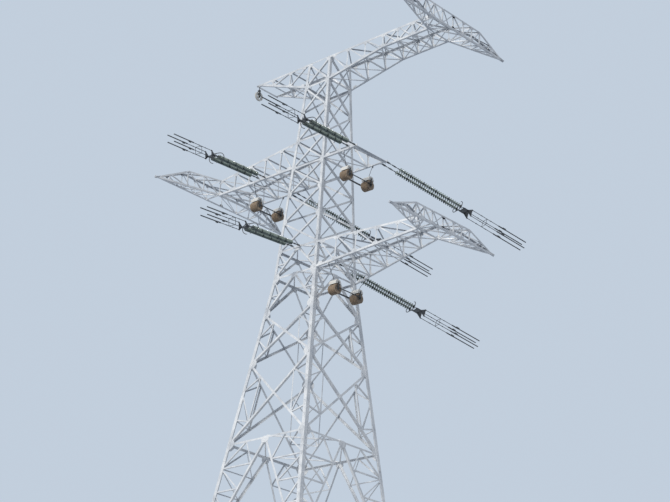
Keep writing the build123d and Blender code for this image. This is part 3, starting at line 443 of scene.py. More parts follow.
def block_pairs():
    """Each pair of blocks: its name, and the middles of its front and back wheels."""
    low = LOWER_ARM.height(LOWER_ARM.bottom_line, LOW_BLOCKS_X)
    for name, x, z in (("_front", FRONT_BLOCKS_X, LEVEL[8]), ("_left", -LEFT_BLOCKS_X, LEVEL[8]),
                       ("_low", LOW_BLOCKS_X, low)):
        yield name, [Matrix.Translation((x, side * BLOCK_HALF_DISTANCE,
                                         z - HANGER_DEPTH - BLOCK_DROP)) for side in (-1, 1)]


# Finishes

def feed(tree, socket, value):
    """Link a socket to another node's, or set its value."""
    if isinstance(value, bpy.types.NodeSocket):
        tree.links.new(value, socket)
    else:
        socket.default_value = value


def feed_node(tree, fed, **inputs):
    """Link or set some of a shader node's inputs."""
    for name, value in inputs.items():
        feed(tree, fed.inputs[name.replace("_", " ")], value)
    return fed


def node(tree, kind, **inputs):
    """A new shader node with some of its inputs linked or set."""
    return feed_node(tree, tree.nodes.new(kind), **inputs)


def noise(tree, place, scale, detail, roughness=0.5):
    """A cloudy pattern over a place."""
    return node(tree, "ShaderNodeTexNoise", Vector=place, Scale=scale, Detail=detail,
                Roughness=roughness).outputs["Fac"]


def stretched(tree, place, scale):
    """The object coordinates, scaled along each axis."""
    return node(tree, "ShaderNodeMapping", Vector=place, Scale=scale).outputs[0]


def ramp(tree, factor, *stops):
    """A ramp over two (position, grey or colour) stops."""
    made = node(tree, "ShaderNodeValToRGB", Fac=factor)
    for element, (position, colour) in zip(made.color_ramp.elements, stops):
        element.position = position
        element.color = (*([colour] * 3 if isinstance(colour, float) else colour), 1)
    return made.outputs["Color"]


def mixed(tree, kind, factor, first, second):
    """One colour laid over another."""
    made = tree.nodes.new("ShaderNodeMix")
    made.data_type, made.blend_type = "RGBA", kind
    for number, value in ((0, factor), (6, first), (7, second)):
        feed(tree, made.inputs[number], value)
    return made.outputs[2]


def roughened(tree, shader, height, strength, distance):
    """Give a surface fine relief."""
    bump = node(tree, "ShaderNodeBump", Strength=strength, Distance=distance, Height=height)
    feed_node(tree, shader, Normal=bump.outputs["Normal"])


def blank_material(name):
    """A new material: its tree, its shader and the object coordinates."""
    material = bpy.data.materials.new(name)
    material.use_nodes = True
    tree = material.node_tree
    shader = tree.nodes["Principled BSDF"]
    place = tree.nodes.new("ShaderNodeTexCoord").outputs["Object"]
    return material, tree, shader, place


def weathered_metal(name, colour, dark, stain, metallic, roughness):
    """Zinc, steel or paint with spangle, cloudy patches and faint streaks that run down."""
    material, tree, shader, place = blank_material(name)
    cloud = noise(tree, place, 1.1, 5.0, 0.6)
    spangle = node(tree, "ShaderNodeTexVoronoi", Vector=place, Scale=42.0).outputs["Color"]
    streak = noise(tree, stretched(tree, place, (9.0, 9.0, 0.7)), 2.0, 3.0)
    patches = ramp(tree, cloud, (0.35, dark), (0.62, colour))
    grained = mixed(tree, "MULTIPLY", 1.0, patches, ramp(tree, spangle, (0.0, 0.86), (1.0, 1.0)))
    stains = ramp(tree, streak, (0.56, 0.0), (0.75, 0.55))
    rough = ramp(tree, cloud, (0.3, roughness - 0.1), (0.7, roughness + 0.12))
    feed_node(tree, shader, Base_Color=mixed(tree, "MIX", stains, grained, (*stain, 1)),
              Metallic=metallic, Roughness=rough)
    roughened(tree, shader, noise(tree, place, 120.0, 2.0), 0.12, 0.002)
    return material


def disc_glass(name, colour, dark, roughness):
    """Dusty toughened glass, with cleaner and darker places."""
    material, tree, shader, place = blank_material(name)
    dust = noise(tree, place, 3.5, 5.0, 0.6)
    feed_node(tree, shader, Base_Color=ramp(tree, dust, (0.38, dark), (0.66, colour)),
              Roughness=ramp(tree, dust, (0.35, roughness), (0.75, roughness + 0.3)),
              IOR=1.52, Coat_Weight=0.4)
    return material


def sheave_nylon(name, colour, dark):
    """Tan cast nylon, scuffed in the grooves."""
    material, tree, shader, place = blank_material(name)
    shade = ramp(tree, noise(tree, place, 6.0, 6.0, 0.7), (0.32, dark), (0.66, colour))
    scuffs = noise(tree, stretched(tree, place, (60.0, 3.0, 3.0)), 1.5, 3.0)
    marks = ramp(tree, scuffs, (0.3, 0.72), (0.6, 1.0))
    feed_node(tree, shader, Base_Color=mixed(tree, "MULTIPLY", 1.0, shade, marks),
              Roughness=0.55)
    roughened(tree, shader, scuffs, 0.2, 0.003)
    return material


def plain_floor(name, colour):
    """A pale floor with a faint mottle."""
    material, tree, shader, place = blank_material(name)
    paler = tuple(min(1.0, value * 1.03) for value in colour)
    mottle = ramp(tree, noise(tree, place, 0.6, 3.0), (0.3, colour), (0.7, paler))
    feed_node(tree, shader, Base_Color=mottle, Roughness=0.9)
    return material


# Settings

def colour_setting(name, default, description):
    """A colour that a user can change."""
    return bpy.props.FloatVectorProperty(name=name, description=description, subtype="COLOR",
                                         size=3, min=0.0, max=1.0, default=default)


def length_setting(name, default, description):
    """A length that a user can change."""
    return bpy.props.FloatProperty(name=name, description=description, unit="LENGTH", min=0.0,
                                   default=default)


class SteelSettings(bpy.types.PropertyGroup):
    """Sizes and colours of the tower's steel."""

    zinc: colour_setting("Zinc", (0.80, 0.82, 0.84), "Clean galvanised steel")
    zinc_dull: colour_setting("Dull zinc", (0.60, 0.63, 0.67), "Cloudy patches of the zinc")
    stain: colour_setting("Stain", (0.34, 0.34, 0.33), "Streaks that run down the steel")
    # Also painted shade on the stringing blocks' frames.
    fitting: colour_setting("Fittings", (0.11, 0.115, 0.12), "Dark steel of the strings")
    gusset_thick: length_setting("Gusset thickness", 0.010, "Thickness of the body's gussets")
    arm_gusset_thick: length_setting("Arm gusset thickness", 0.0078,
                                     "Thickness of the arms' gussets")
    bolt_radius: length_setting("Bolt head radius", 0.017, "Half the width of a bolt's head")
    bolt_pitch: length_setting("Bolt pitch", 0.075, "Distance between bolts in a row")


class StringSettings(bpy.types.PropertyGroup):
    """Sizes and colours of the insulator strings."""

    glass: colour_setting("Glass", (0.24, 0.30, 0.28), "Dusty glass of the discs")
    glass_dark: colour_setting("Dark glass", (0.06, 0.08, 0.078), "Glass in the discs' folds")
    disc_radius: length_setting("Disc radius", 0.150, "Radius of an insulator disc")


class BlockSettings(bpy.types.PropertyGroup):
    """Sizes and colours of the stringing blocks."""

    nylon: colour_setting("Nylon", (0.42, 0.325, 0.23), "Tan nylon of the wheels")
    nylon_dark: colour_setting("Worn nylon", (0.22, 0.165, 0.12), "Dirty nylon in the grooves")
    paint: colour_setting("Frame paint", (0.78, 0.78, 0.75), "Pale paint of the frames")
    cover_depth: length_setting("Cover depth", 0.235, "Half the cover's depth along the line")
    cover_thick: length_setting("Cover thickness", 0.006, "Thickness of the cover's skirt")


class StageSettings(bpy.types.PropertyGroup):
    """Floor, backdrop and light."""

    floor: colour_setting("Floor", (0.72, 0.74, 0.76), "Pale floor")
    backdrop: colour_setting("Backdrop", (0.54, 0.62, 0.72), "Pale backdrop")
    floor_radius: length_setting("Floor radius", 13.0, "Radius of the round floor")
    sun_strength: bpy.props.FloatProperty(name="Sun", description="Strength of the sun lamp",
                                          min=0.0, default=2.9)


def shaded(colour, share):
    """A colour made darker by a share."""
    return tuple(value * share for value in colour)


def made_once(name, *look):
    """A weathered material, made the first time that it is asked for."""
    return bpy.data.materials.get(name) or weathered_metal(name, *look)


def steel_material():
    """The tower's zinc."""
    look = steel()
    return made_once("galvanised_zinc", look.zinc, look.zinc_dull, look.stain, 0.25, 0.5)


def dark_steel_and_shade_material():
    """The strings' dark steel; on the blocks' frames it is also painted shade."""
    colour = steel().fitting
    return made_once("dark_steel_and_painted_shade", colour, shaded(colour, 0.6), (0.10, 0.09, 0.085), 0.6,
                     0.45)


def paint_material():
    """The blocks' pale paint."""
    colour = bpy.context.scene.tower_blocks.paint
    return made_once("worn_pale_paint", colour, shaded(colour, 0.8), (0.42, 0.33, 0.26), 0.05, 0.5)


# Operators

class TowerFinish(bpy.types.Operator):
    """Give the legs, bracing, arms, brackets and fittings their metal"""

    bl_idname = "tower.finish_steel"
    bl_label = "Steel finish"

    def execute(self, context):
        for name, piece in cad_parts.items():
            # The blocks' frames take the dark steel: partly their own dark steel and partly
            # painted shade, for the shade on their end faces that face away from the sun.
            if name.startswith(("fittings", "block_pair")) or name == "earth_block":
                material = dark_steel_and_shade_material()
            elif name == "earth_block_wheel":
                material = paint_material()
            else:
                material = steel_material()
            piece.data.materials.clear()
            piece.data.materials.append(material)
        return {"FINISHED"}


def gusset_size(z):
    """Half the height and the depth of the gussets beside the legs."""
    return (0.34, 0.30) if z < LEVEL[4] + 0.1 else (0.21, 0.17)


def bolt_row(bm, turn, start, end, count, gusset):
    """A row of bolts along a brace's end, on the leg's flange or on the gusset beyond it."""
    look = steel()
    reaches = [look.bolt_pitch * (number + 1.1) for number in range(count)]
    for x, z in points_along(start, end, reaches):
        flange, thick = leg_sizes(z)
        inward = half_width(z) - abs(x)
        if inward < look.bolt_radius * 2:
            continue
        on_leg = inward < flange - look.bolt_radius
        if not on_leg and inward < flange + look.bolt_radius:
            continue
        beyond = inward - flange > gusset_size(z)[1] - look.bolt_radius
        if gusset and beyond and abs(start[0]) > half_width(z) / 2:
            continue
        lift = 0.0 if on_leg else (look.gusset_thick if gusset else 0.0) - thick
        steel_bolt(bm, side_frame(turn, x, z, lift))


def leg_gusset(bm, turn, side, z, height, depth):
    """A chamfered plate beside a leg, in front of the braces."""
    flange, thick = leg_sizes(z)
    lean = side_slope(z)
    near = flange + 0.002
    upper = [(near + depth, height * 0.3), (near + depth * 0.55, height * 0.8), (near, height)]
    outline = [(x, -y) for x, y in reversed(upper)] + upper
    outline = [(side * -(x + y * lean), y) for x, y in outline]
    plate = side_frame(turn, side * half_width(z), z, SKIN_GAP - thick)
    add_plate(bm, plate, outline, steel().gusset_thick)


def middle_gusset(bm, turn, z, width, height):
    """A chamfered plate on a belt's middle or on a crossing."""
    thick = leg_sizes(z)[1]
    half, rise = width / 2, height / 2
    lower = mirrored([(-half, -rise * 0.4), (-half * 0.6, -rise)])
    add_plate(bm, side_frame(turn, 0.0, z, SKIN_GAP - thick),
              lower + [(x, -y) for x, y in reversed(lower)], steel().gusset_thick)


def both_ways(runs):
    """Each run from its start and then from its end."""
    return [pair for start, end in runs for pair in ((start, end), (end, start))]


def crossing_height(low, high):
    """Where the diagonals of a crossed panel meet."""
    return low + (high - low) * half_width(low) / (half_width(low) + half_width(high))


class TowerGussets(bpy.types.Operator):
    """Add the gusset plates and bolts of the body"""

    bl_idname = "tower.body_gussets"
    bl_label = "Body gussets and bolts"

    def execute(self, context):
        thick = context.scene.tower_steel.gusset_thick
        for turn, name in enumerate(("front", "right", "back", "left")):
            bm = bmesh.new()
            for z in LEVEL[1:]:
                height, depth = gusset_size(z)
                if z == TOP:
                    z, height = TOP - TOP_PLATE_DROP, TOP_PLATE_HEIGHT
                for side in (-1, 1):
                    leg_gusset(bm, turn, side, z, height, depth)
            for z, width, height in BELT_PLATES:
                middle_gusset(bm, turn, z, width, height)
            for number in CROSSED_PANELS:
                z = crossing_height(LEVEL[number], LEVEL[number + 1])
                size = LARGE_CROSS_PLATE if z < WAIST else SMALL_CROSS_PLATE
                middle_gusset(bm, turn, z, size, size)
                steel_bolt(bm, side_frame(turn, 0.0, z, thick - leg_sizes(z)[1]))
            for braces, count in ((main_braces(), 5), (small_braces(), 2)):
                for first, last in both_ways(braces):
                    if first[1] > BASE_CLEARANCE:
                        bolt_row(bm, turn, first, last, count, count > 2)
            steel_piece(name + "_plates_and_bolts", bm)
        return {"FINISHED"}


class TowerSplices(bpy.types.Operator):
    """Add the legs' splice plates, step bolts and anchor nuts"""

    bl_idname = "tower.leg_details"
    bl_label = "Leg splices and step bolts"

    def execute(self, context):
        self.splices()
        self.step_bolts()
        self.anchor_nuts()
        return {"FINISHED"}

    def splices(self):
        """Cover plates on both flanges of each leg, with their bolts."""
        bm = bmesh.new()
        length, thick, margin = 0.62, 0.012, 0.02
        for z in SPLICES:
            flange = leg_sizes(z)[0]
            lean = side_slope(z)
            half, near, far = length / 2, margin, flange - margin
            for turn, side in product(range(4), (-1, 1)):
                place = side_frame(turn, side * half_width(z), z, SKIN_GAP)
                corners = [(near, -half), (far, -half), (far, half), (near, half)]
                add_plate(bm, place, [(side * -(x + y * lean), y) for x, y in corners], thick)
                for row, share in product(range(6), (0.3, 0.7)):
                    rise = length * (row - 2.5) / 6.4
                    x = -side * (flange * share + rise * lean)
                    steel_bolt(bm, shifted(place, x, rise, thick))
        steel_piece("leg_splice_plates", bm)

    def step_bolts(self):
        """Step bolts up two opposite legs, by turns on one flange and the other."""
        bm = bmesh.new()
        first_height, pitch, length, radius = 2.2, 0.42, 0.17, 0.009
        left_free, inset = 0.6, 0.055
        count = int((TOP - left_free - first_height) / pitch)
        for turn in (0, 2):
            for number in range(count):
                z = first_height + pitch * number
                side, face = (1, turn) if number % 2 else (-1, turn + 1)
                place = side_frame(face, side * (half_width(z) - inset), z)
                add_rod(bm, place, (0, 0, 0), (0, 0, length), radius, 6)
                add_bolt(bm, shifted(place, 0, 0, length), radius * 1.7, 0.01)
                add_bolt(bm, place, radius * 1.9, 0.014)
        steel_piece("step_bolts", bm)

    def anchor_nuts(self):
        """Anchor bolts with a washer and two nuts at every foot."""
        bm = bmesh.new()
        half, washer, nut, lock_nut = ANCHOR_SPACING / 2, 0.008, 0.036, 0.026
        below, above, radius, nut_radius, washer_radius = 0.038, 0.15, 0.019, 0.036, 0.048
        feet = product((-PLATE_CENTRE, PLATE_CENTRE), repeat=2)
        for (foot_x, foot_y), (x, y) in product(feet, product((-half, half), repeat=2)):
            place = Matrix.Translation((foot_x + x, foot_y + y, PLATE_THICK))
            add_rod(bm, place, (0, 0, -below), (0, 0, above), radius, 10)
            add_rod(bm, place, (0, 0, 0), (0, 0, washer), washer_radius, 16)
            add_bolt(bm, shifted(place, 0, 0, washer), nut_radius, nut)
            add_bolt(bm, shifted(place, 0, 0, washer + nut), nut_radius, lock_nut)
        steel_piece("anchor_nuts", bm)


def arm_side_frame(arm, point, depth_side, lift, way=(1, 0)):
    """A place on an arm's side: X along a run, Y across it, Z outward."""
    origin = arm.place(*point, depth_side)
    along = (arm.place(point[0] + way[0] * 0.1, point[1] + way[1] * 0.1, depth_side)
             - origin).normalized()
    out = arm.out(depth_side)
    along = (along - out * along.dot(out)).normalized()
    return axes_matrix(origin + out * lift, along, out.cross(along), out)


class TowerArmPlates(bpy.types.Operator):
    """Add the gusset plates and bolts of the crossarms"""

    bl_idname = "tower.arm_gussets"
    bl_label = "Arm gussets and bolts"

    def execute(self, context):
        for arm in ARMS:
            bm = bmesh.new()
            for depth_side in (-1, 1):
                self.side_plates(bm, arm, depth_side)
                self.web_bolts(bm, arm, depth_side)
                self.lacing_bolts(bm, arm, depth_side)
                if arm is EARTH_ARM:
                    self.tip_plate(bm, arm, depth_side)
            steel_piece(arm.name + "_plates_and_bolts", bm)
        bm = bmesh.new()
        for details in END_FRAMES:
            self.end_frame_plates(bm, *details)
        steel_piece("end_frame_plates_and_bolts", bm)
        return {"FINISHED"}

    def side_plates(self, bm, arm, depth_side):
        """A gusset at every panel point of both chords."""
        thick = steel().arm_gusset_thick
        near, far, first = CHORD_FLANGE + 0.001, CHORD_FLANGE + 0.13, arm.start_x + 0.32
        for line, inward in ((arm.top_line, -1), (arm.bottom_line, 1)):
            for x in [first] + arm.points:
                if arm.depth(x) < 3 * CHORD_FLANGE:
                    continue
                z = arm.height(line, x)
                ahead = arm.height(line, x + SLOPE_STEP) - z if x < arm.points[-1] else 0.0
                way = (1, ahead / SLOPE_STEP)
                place = arm_side_frame(arm, (x, z), depth_side, -WEB_DEPTH, way)
                across = place.to_3x3() @ Vector((0, 1, 0))
                sign = inward if across.z > 0 else -inward
                outline = mirrored([(-0.2, near), (-0.12, far)])
                add_plate(bm, place, [(u, sign * v) for u, v in outline], thick)

    def tip_plate(self, bm, arm, depth_side):
        """The plate over both chords at the arm's tip, with its bolts."""
        thick = steel().gusset_thick
        tip, margin = arm.points[-1], 0.012
        place = arm_side_frame(arm, (tip, TOP), depth_side, SKIN_GAP)
        corners = [(x, TOP - margin) for x in (tip - 0.62, tip - 0.05)]
        corners += [(x, arm.height(arm.bottom_line, x) + margin) for x in (tip - 0.05, tip - 0.5)]
        flat = [place.inverted() @ arm.place(x, z, depth_side) for x, z in corners]
        add_plate(bm, place, [(corner.x, corner.y) for corner in flat], thick)
        first, pitch, count, inset = tip - 0.27, 0.065, 5, 0.06
        for line, inward in ((arm.top_line, -inset), (arm.bottom_line, inset)):
            for x in [first - pitch * number for number in range(count)]:
                point = (x, arm.height(line, x) + inward)
                steel_bolt(bm, arm_side_frame(arm, point, depth_side, thick))

    def web_bolts(self, bm, arm, depth_side):
        """Bolts along the ends of the webs, on the chord and on the gusset."""
        look = steel()
        first, count = 0.055, 4
        reaches = [first + number * look.bolt_pitch for number in range(count)]
        for start, end in both_ways(arm.webs()):
            for point in points_along(start, end, reaches):
                rise = abs(point[1] - start[1])
                on_leg = point[0] < half_width(point[1]) + look.bolt_radius * 2
                if on_leg or abs(rise - CHORD_FLANGE) < look.bolt_radius:
                    continue
                lift = 0.0 if rise < CHORD_FLANGE else look.arm_gusset_thick - WEB_DEPTH
                steel_bolt(bm, arm_side_frame(arm, point, depth_side, lift))

    def lacing_bolts(self, bm, arm, depth_side):
        """Bolts through the chords' level flanges, where the lacing ends."""
        flange_middle, side_way = 0.075, Vector((0, 1, 0))
        for line, up in ((arm.top_line, 1), (arm.bottom_line, -1)):
            points = [x for x in arm.points if arm.depth(x) >= CHORD_FLANGE]
            for x, step in product(points, (-0.11, -0.05, 0.05, 0.11)):
                z = arm.height(line, x + step)
                place = arm.place(x + step, z, depth_side)
                place.y -= depth_side * flange_middle
                slope = (z - arm.height(line, x + step - SLOPE_STEP)) / SLOPE_STEP
                normal = Vector((-slope * arm.sign, 0, 1)).normalized() * up
                steel_bolt(bm, axes_matrix(place, side_way.cross(normal), side_way, normal))

    def end_frame_plates(self, bm, arm, outer_x, frames, knee, tip):
        """Plates and bolts on the outer side of an end frame."""
        plate_thick = steel().gusset_thick - 0.0005
        sign = arm.sign
        bottom = arm.height(arm.bottom_line, arm.points[-1])
        top = arm.height(arm.top_line, arm.points[-1])
        flange, thick = 0.11, 0.010
        near, far = flange + 0.001, flange + 0.1
        for side in (-1, 1):
            for y in [0.0, abs(arm.place(arm.points[-1], bottom, 1).y)] + frames:
                fall = max(y - knee, 0) / (tip - knee)
                high = top + (bottom - top) * fall
                for z, inward in ((bottom, 1), (high, -1)):
                    if z == high and fall > 0.6:
                        continue
                    place = axes_matrix((sign * outer_x, side * y, z), (0, sign, 0), (0, 0, 1),
                                        (sign, 0, 0))
                    if high - bottom > 2.2 * far:
                        outline = mirrored([(-0.15, near), (-0.08, far)])
                        plate = shifted(place, 0, 0, -thick)
                        slant = 0.0 if z == bottom or not fall else 1.0
                        lean = side * sign * (bottom - top) / (tip - knee) * slant
                        add_plate(bm, plate, [(u, inward * v + u * lean) for u, v in outline],
                                  plate_thick)
                    for step in (-0.09, 0.0, 0.09):
                        steel_bolt(bm, shifted(place, step, inward * 0.05, 0))


def disc_shell(radius):
    """The profile of one glass shell: (distance from the disc's start, radius)."""
    return [(0.052, 0.045), (0.064, 0.088), (0.084, radius * 0.86), (0.104, radius),
            (0.122, radius * 0.95), (0.106, radius * 0.74), (0.122, radius * 0.55),
            (0.100, 0.030)]


class StringDiscs(bpy.types.Operator):
    """Add the insulator discs with their caps and pins"""

    bl_idname = "tower.insulator_discs"
    bl_label = "Insulator discs"

    def execute(self, context):
        look = context.scene.tower_strings
        glass = disc_glass("dusty_glass", look.glass, shaded(look.glass, 0.62), 0.22)
        dark_glass = disc_glass("dark_glass", look.glass_dark, shaded(look.glass_dark, 0.6), 0.3)
        shell = disc_shell(look.disc_radius)
        cap = [(0.0, 0.022), (0.004, 0.042), (0.030, 0.052), (0.066, 0.058), (0.070, 0.040)]
        pin = [(0.096, 0.034), (0.112, 0.022), (DISC_PITCH, 0.020)]
        for end, place in strings():
            bm = bmesh.new()
            for side, number in product((-1, 1), range(DISC_COUNT)):
                start = LINK_LENGTH + number * DISC_PITCH
                spot = shifted(place, start, side * STRING_SPACING / 2, 0)
                last = number % DISCS_A_GROUP == DISCS_A_GROUP - 1
                add_turned(bm, spot, shell, 20, 1 if last else 0)
                add_turned(bm, spot, cap, 8, 2)
                add_turned(bm, spot, pin, 6, 2)
            piece = make_piece("insulators" + end, bm, [glass, dark_glass, dark_steel_and_shade_material()],
                               "string" + end)
            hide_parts("discs" + end)
        return {"FINISHED"}


class StringDetails(bpy.types.Operator):
    """Add the bolts, collars, spacers and clamp barrels of the strings"""

    bl_idname = "tower.string_details"
    bl_label = "String details"

    def execute(self, context):
        for end, place in strings():
            bm = bmesh.new()
            self.tower_end(bm, place)
            self.yoke(bm, place)
            self.bundle(bm, place)
            fitting_piece("string_details" + end, bm, "string" + end)
        return {"FINISHED"}

    def tower_end(self, bm, place):
        """Bolts at the pins and turned collars on the adjusting links."""
        pin_end = 0.036
        for y in (-STRING_SPACING / 2, STRING_SPACING / 2):
            for face in (-1, 1):
                head = axes_matrix((0, y + face * pin_end, 0), (1, 0, 0), (0, 0, -face),
                                   (0, face, 0))
                add_bolt(bm, place @ head, 0.03, 0.018)
            for spot in (0.3, 0.46, 0.76, 0.92):
                add_turned(bm, shifted(place, spot, y, 0), collar(0.03, 0.018, 0.036), 10)

    def yoke(self, bm, place):
        """Bolts on the yoke plate, over the lines of discs and the splitter plates."""
        half, inset = STRING_SPACING / 2, 0.07
        ends = (YOKE_START + inset, YOKE_START + YOKE_LENGTH - inset)
        for x, y, face in product(ends, (-half, half), (-1, 1)):
            head = axes_matrix((x, y, face * YOKE_THICK / 2), (1, 0, 0), (0, face, 0),
                               (0, 0, face))
            add_bolt(bm, place @ head, 0.028, 0.02)

    def bundle(self, bm, place):
        """Collars, tapered clamp barrels and spacers of the four rods."""
        rods = YOKE_START + YOKE_LENGTH - SPLITTER_OVERLAP + SPLITTER_LENGTH
        clamps = rods + ROD_LENGTH
        half, spacer = BUNDLE_SPACING / 2, rods + 1.2
        barrel = [(0.0, 0.020), (0.05, CLAMP_RADIUS + 0.006), (0.55, CLAMP_RADIUS + 0.008),
                  (0.6, CLAMP_RADIUS + 0.001)]
        for y, z in product((-half, half), repeat=2):
            for x, radius in ((rods - 0.02, 0.04), (rods + 0.75, 0.03), (rods + 1.5, 0.03)):
                add_turned(bm, shifted(place, x, y, z), collar(0.05, 0.018, radius), 8)
            add_turned(bm, shifted(place, clamps - 0.03, y, z), barrel, 10)
        for edge in (-half, half):
            add_rod(bm, place, (spacer, edge, -half), (spacer, edge, half), 0.015)
            add_rod(bm, place, (spacer, -half, edge), (spacer, half, edge), 0.015)


def facing(place, spot, face):
    """A frame at a spot, with Z along the axle: to the right, or to the left for -1."""
    return place @ axes_matrix(spot, (0, 0, -face), (0, 1, 0), (face, 0, 0))


def sheave_profile(left):
    """The profile of one grooved wheel, from its left face to its right face."""
    rim, groove = SHEAVE_RADIUS, 0.075
    points = [(0.030, 0.085), (0.030, 0.20), (0.0, 0.235), (0.0, rim - 0.012), (0.012, rim)]
    steps = 6
    for number in range(steps + 1):
        angle = math.pi * number / steps
        across = SHEAVE_WIDTH / 2 - (SHEAVE_WIDTH / 2 - 0.02) * math.cos(angle)
        points.append((across, rim - 0.004 - groove * math.sin(angle)))
    far_side = [(SHEAVE_WIDTH - x, radius) for x, radius in reversed(points[:5])]
    return [(left + x, radius) for x, radius in points + far_side]


class BlockWheels(bpy.types.Operator):
    """Add the grooved nylon wheels of the stringing blocks"""

    bl_idname = "tower.block_wheels"
    bl_label = "Block wheels"

    def execute(self, context):
        look = context.scene.tower_blocks
        nylon = sheave_nylon("tan_nylon", look.nylon, look.nylon_dark)
        face, bore, hub = WHEELS_WIDTH / 2 + 0.001, AXLE_RADIUS + 0.001, 0.086
        for name, places in block_pairs():
            for end, place in zip((name + "_front", name + "_back"), places):
                bm = bmesh.new()
                for number in range(SHEAVE_COUNT):
                    left = -WHEELS_WIDTH / 2 + number * (SHEAVE_WIDTH + SHEAVE_GAP)
                    add_turned(bm, place, sheave_profile(left), 40)
                    self.hub_bolts(bm, place, left)
                add_turned(bm, place, collar(face, bore, hub) + [(-face, bore)], 24, 1)
                piece = make_piece("wheels" + end, bm, [nylon, dark_steel_and_shade_material()],
                                   "wheels" + end)
                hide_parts("sheaves" + end)
        return {"FINISHED"}

    def hub_bolts(self, bm, place, left):
        """Six bolts round the hub, on each face of a wheel."""
        recess, ring, count = 0.030, 0.12, 6
        for face, x in ((-1, left + recess), (1, left + SHEAVE_WIDTH - recess)):
            for number in range(count):
                angle = math.tau * number / count
                spot = (x, ring * math.cos(angle), ring * math.sin(angle))
                add_bolt(bm, facing(place, spot, face), 0.011, 0.009)


class BlockCovers(bpy.types.Operator):
    """Add the pale cover over the wheels of every stringing block"""

    bl_idname = "tower.block_covers"
    bl_label = "Block covers"

    def execute(self, context):
        look = context.scene.tower_blocks
        wide, thick, deep = WHEELS_WIDTH + 0.032, look.cover_thick, look.cover_depth
        rim = mirrored([(deep, 0.290), (deep, 0.420), (0.13, 0.575)])
        for name, places in block_pairs():
            bm = bmesh.new()
            for place in places:
                for start, end in zip(rim, rim[1:]):
                    middle = Vector((0, (start[0] + end[0]) / 2, (start[1] + end[1]) / 2))
                    along = Vector((0, end[0] - start[0], end[1] - start[1]))
                    across = along.normalized()
                    sheet = axes_matrix(middle, (1, 0, 0), across, (0, -across.z, across.y))
                    add_box(bm, place @ sheet, (wide, along.length + thick, thick), 0.001)
                cheek = [(-0.12, 0.335), (0.12, 0.335)] + rim
                for end in (-1, 1):
                    flat = axes_matrix((end * wide / 2, 0, 0), (0, 1, 0), (0, 0, 1), (1, 0, 0))
                    add_plate(bm, place @ flat, cheek, -end * thick)
            make_piece("block_covers" + name, bm, [paint_material()], "blocks" + name)
        return {"FINISHED"}


class BlockDetails(bpy.types.Operator):
    """Add the collars, nuts and guards of every stringing block"""

    bl_idname = "tower.block_details"
    bl_label = "Block details"

    def execute(self, context):
        for name, places in block_pairs():
            bm = bmesh.new()
            for place in places:
                self.fasteners(bm, place, WHEELS_WIDTH / 2 + SIDE_PLATE_REACH)
            fitting_piece("block_details" + name, bm, "blocks" + name)
        bm, half = bmesh.new(), SHEAVE_WIDTH / 2
        self.fasteners(bm, earth_block_place(), half + SIDE_PLATE_REACH)
        fitting_piece("earth_block_details", bm, "block_earth")
        bm, thick = bmesh.new(), 0.004
        cap = [(half, 0.036), (half + thick, 0.040), (half + thick, 0.072), (half, 0.076)]
        for face in (-1, 1):
            add_turned(bm, earth_block_place(), [(face * x, radius) for x, radius in cap], 24)
        fitting_piece("earth_wheel_caps", bm, "wheel_earth")
        return {"FINISHED"}

    def fasteners(self, bm, place, outer):
        """One block's axle nuts, side bolts, guard bars and collar."""
        for face in (-1, 1):
            add_bolt(bm, facing(place, (face * (outer + 0.02), 0, 0), face), 0.055, 0.022)
            for reach, rise in product((-0.03, 0.03), (0.16, 0.26, 0.4)):
                add_bolt(bm, facing(place, (face * outer, reach, rise), face), 0.014, 0.010)
        inner, guard_height = outer - 0.004, 0.42
        for reach in (-0.075, 0.075):
            add_rod(bm, place, (-inner, reach, guard_height), (inner, reach, guard_height), 0.011)
        add_turned(bm, place @ axes_matrix((0, 0, 0.47), (0, 0, 1), (0, 1, 0), (-1, 0, 0)),
                   [(0.0, 0.014), (0.0, 0.05), (0.03, 0.05), (0.07, 0.028), (0.12, 0.024),
                    (0.12, 0.014)], 12)


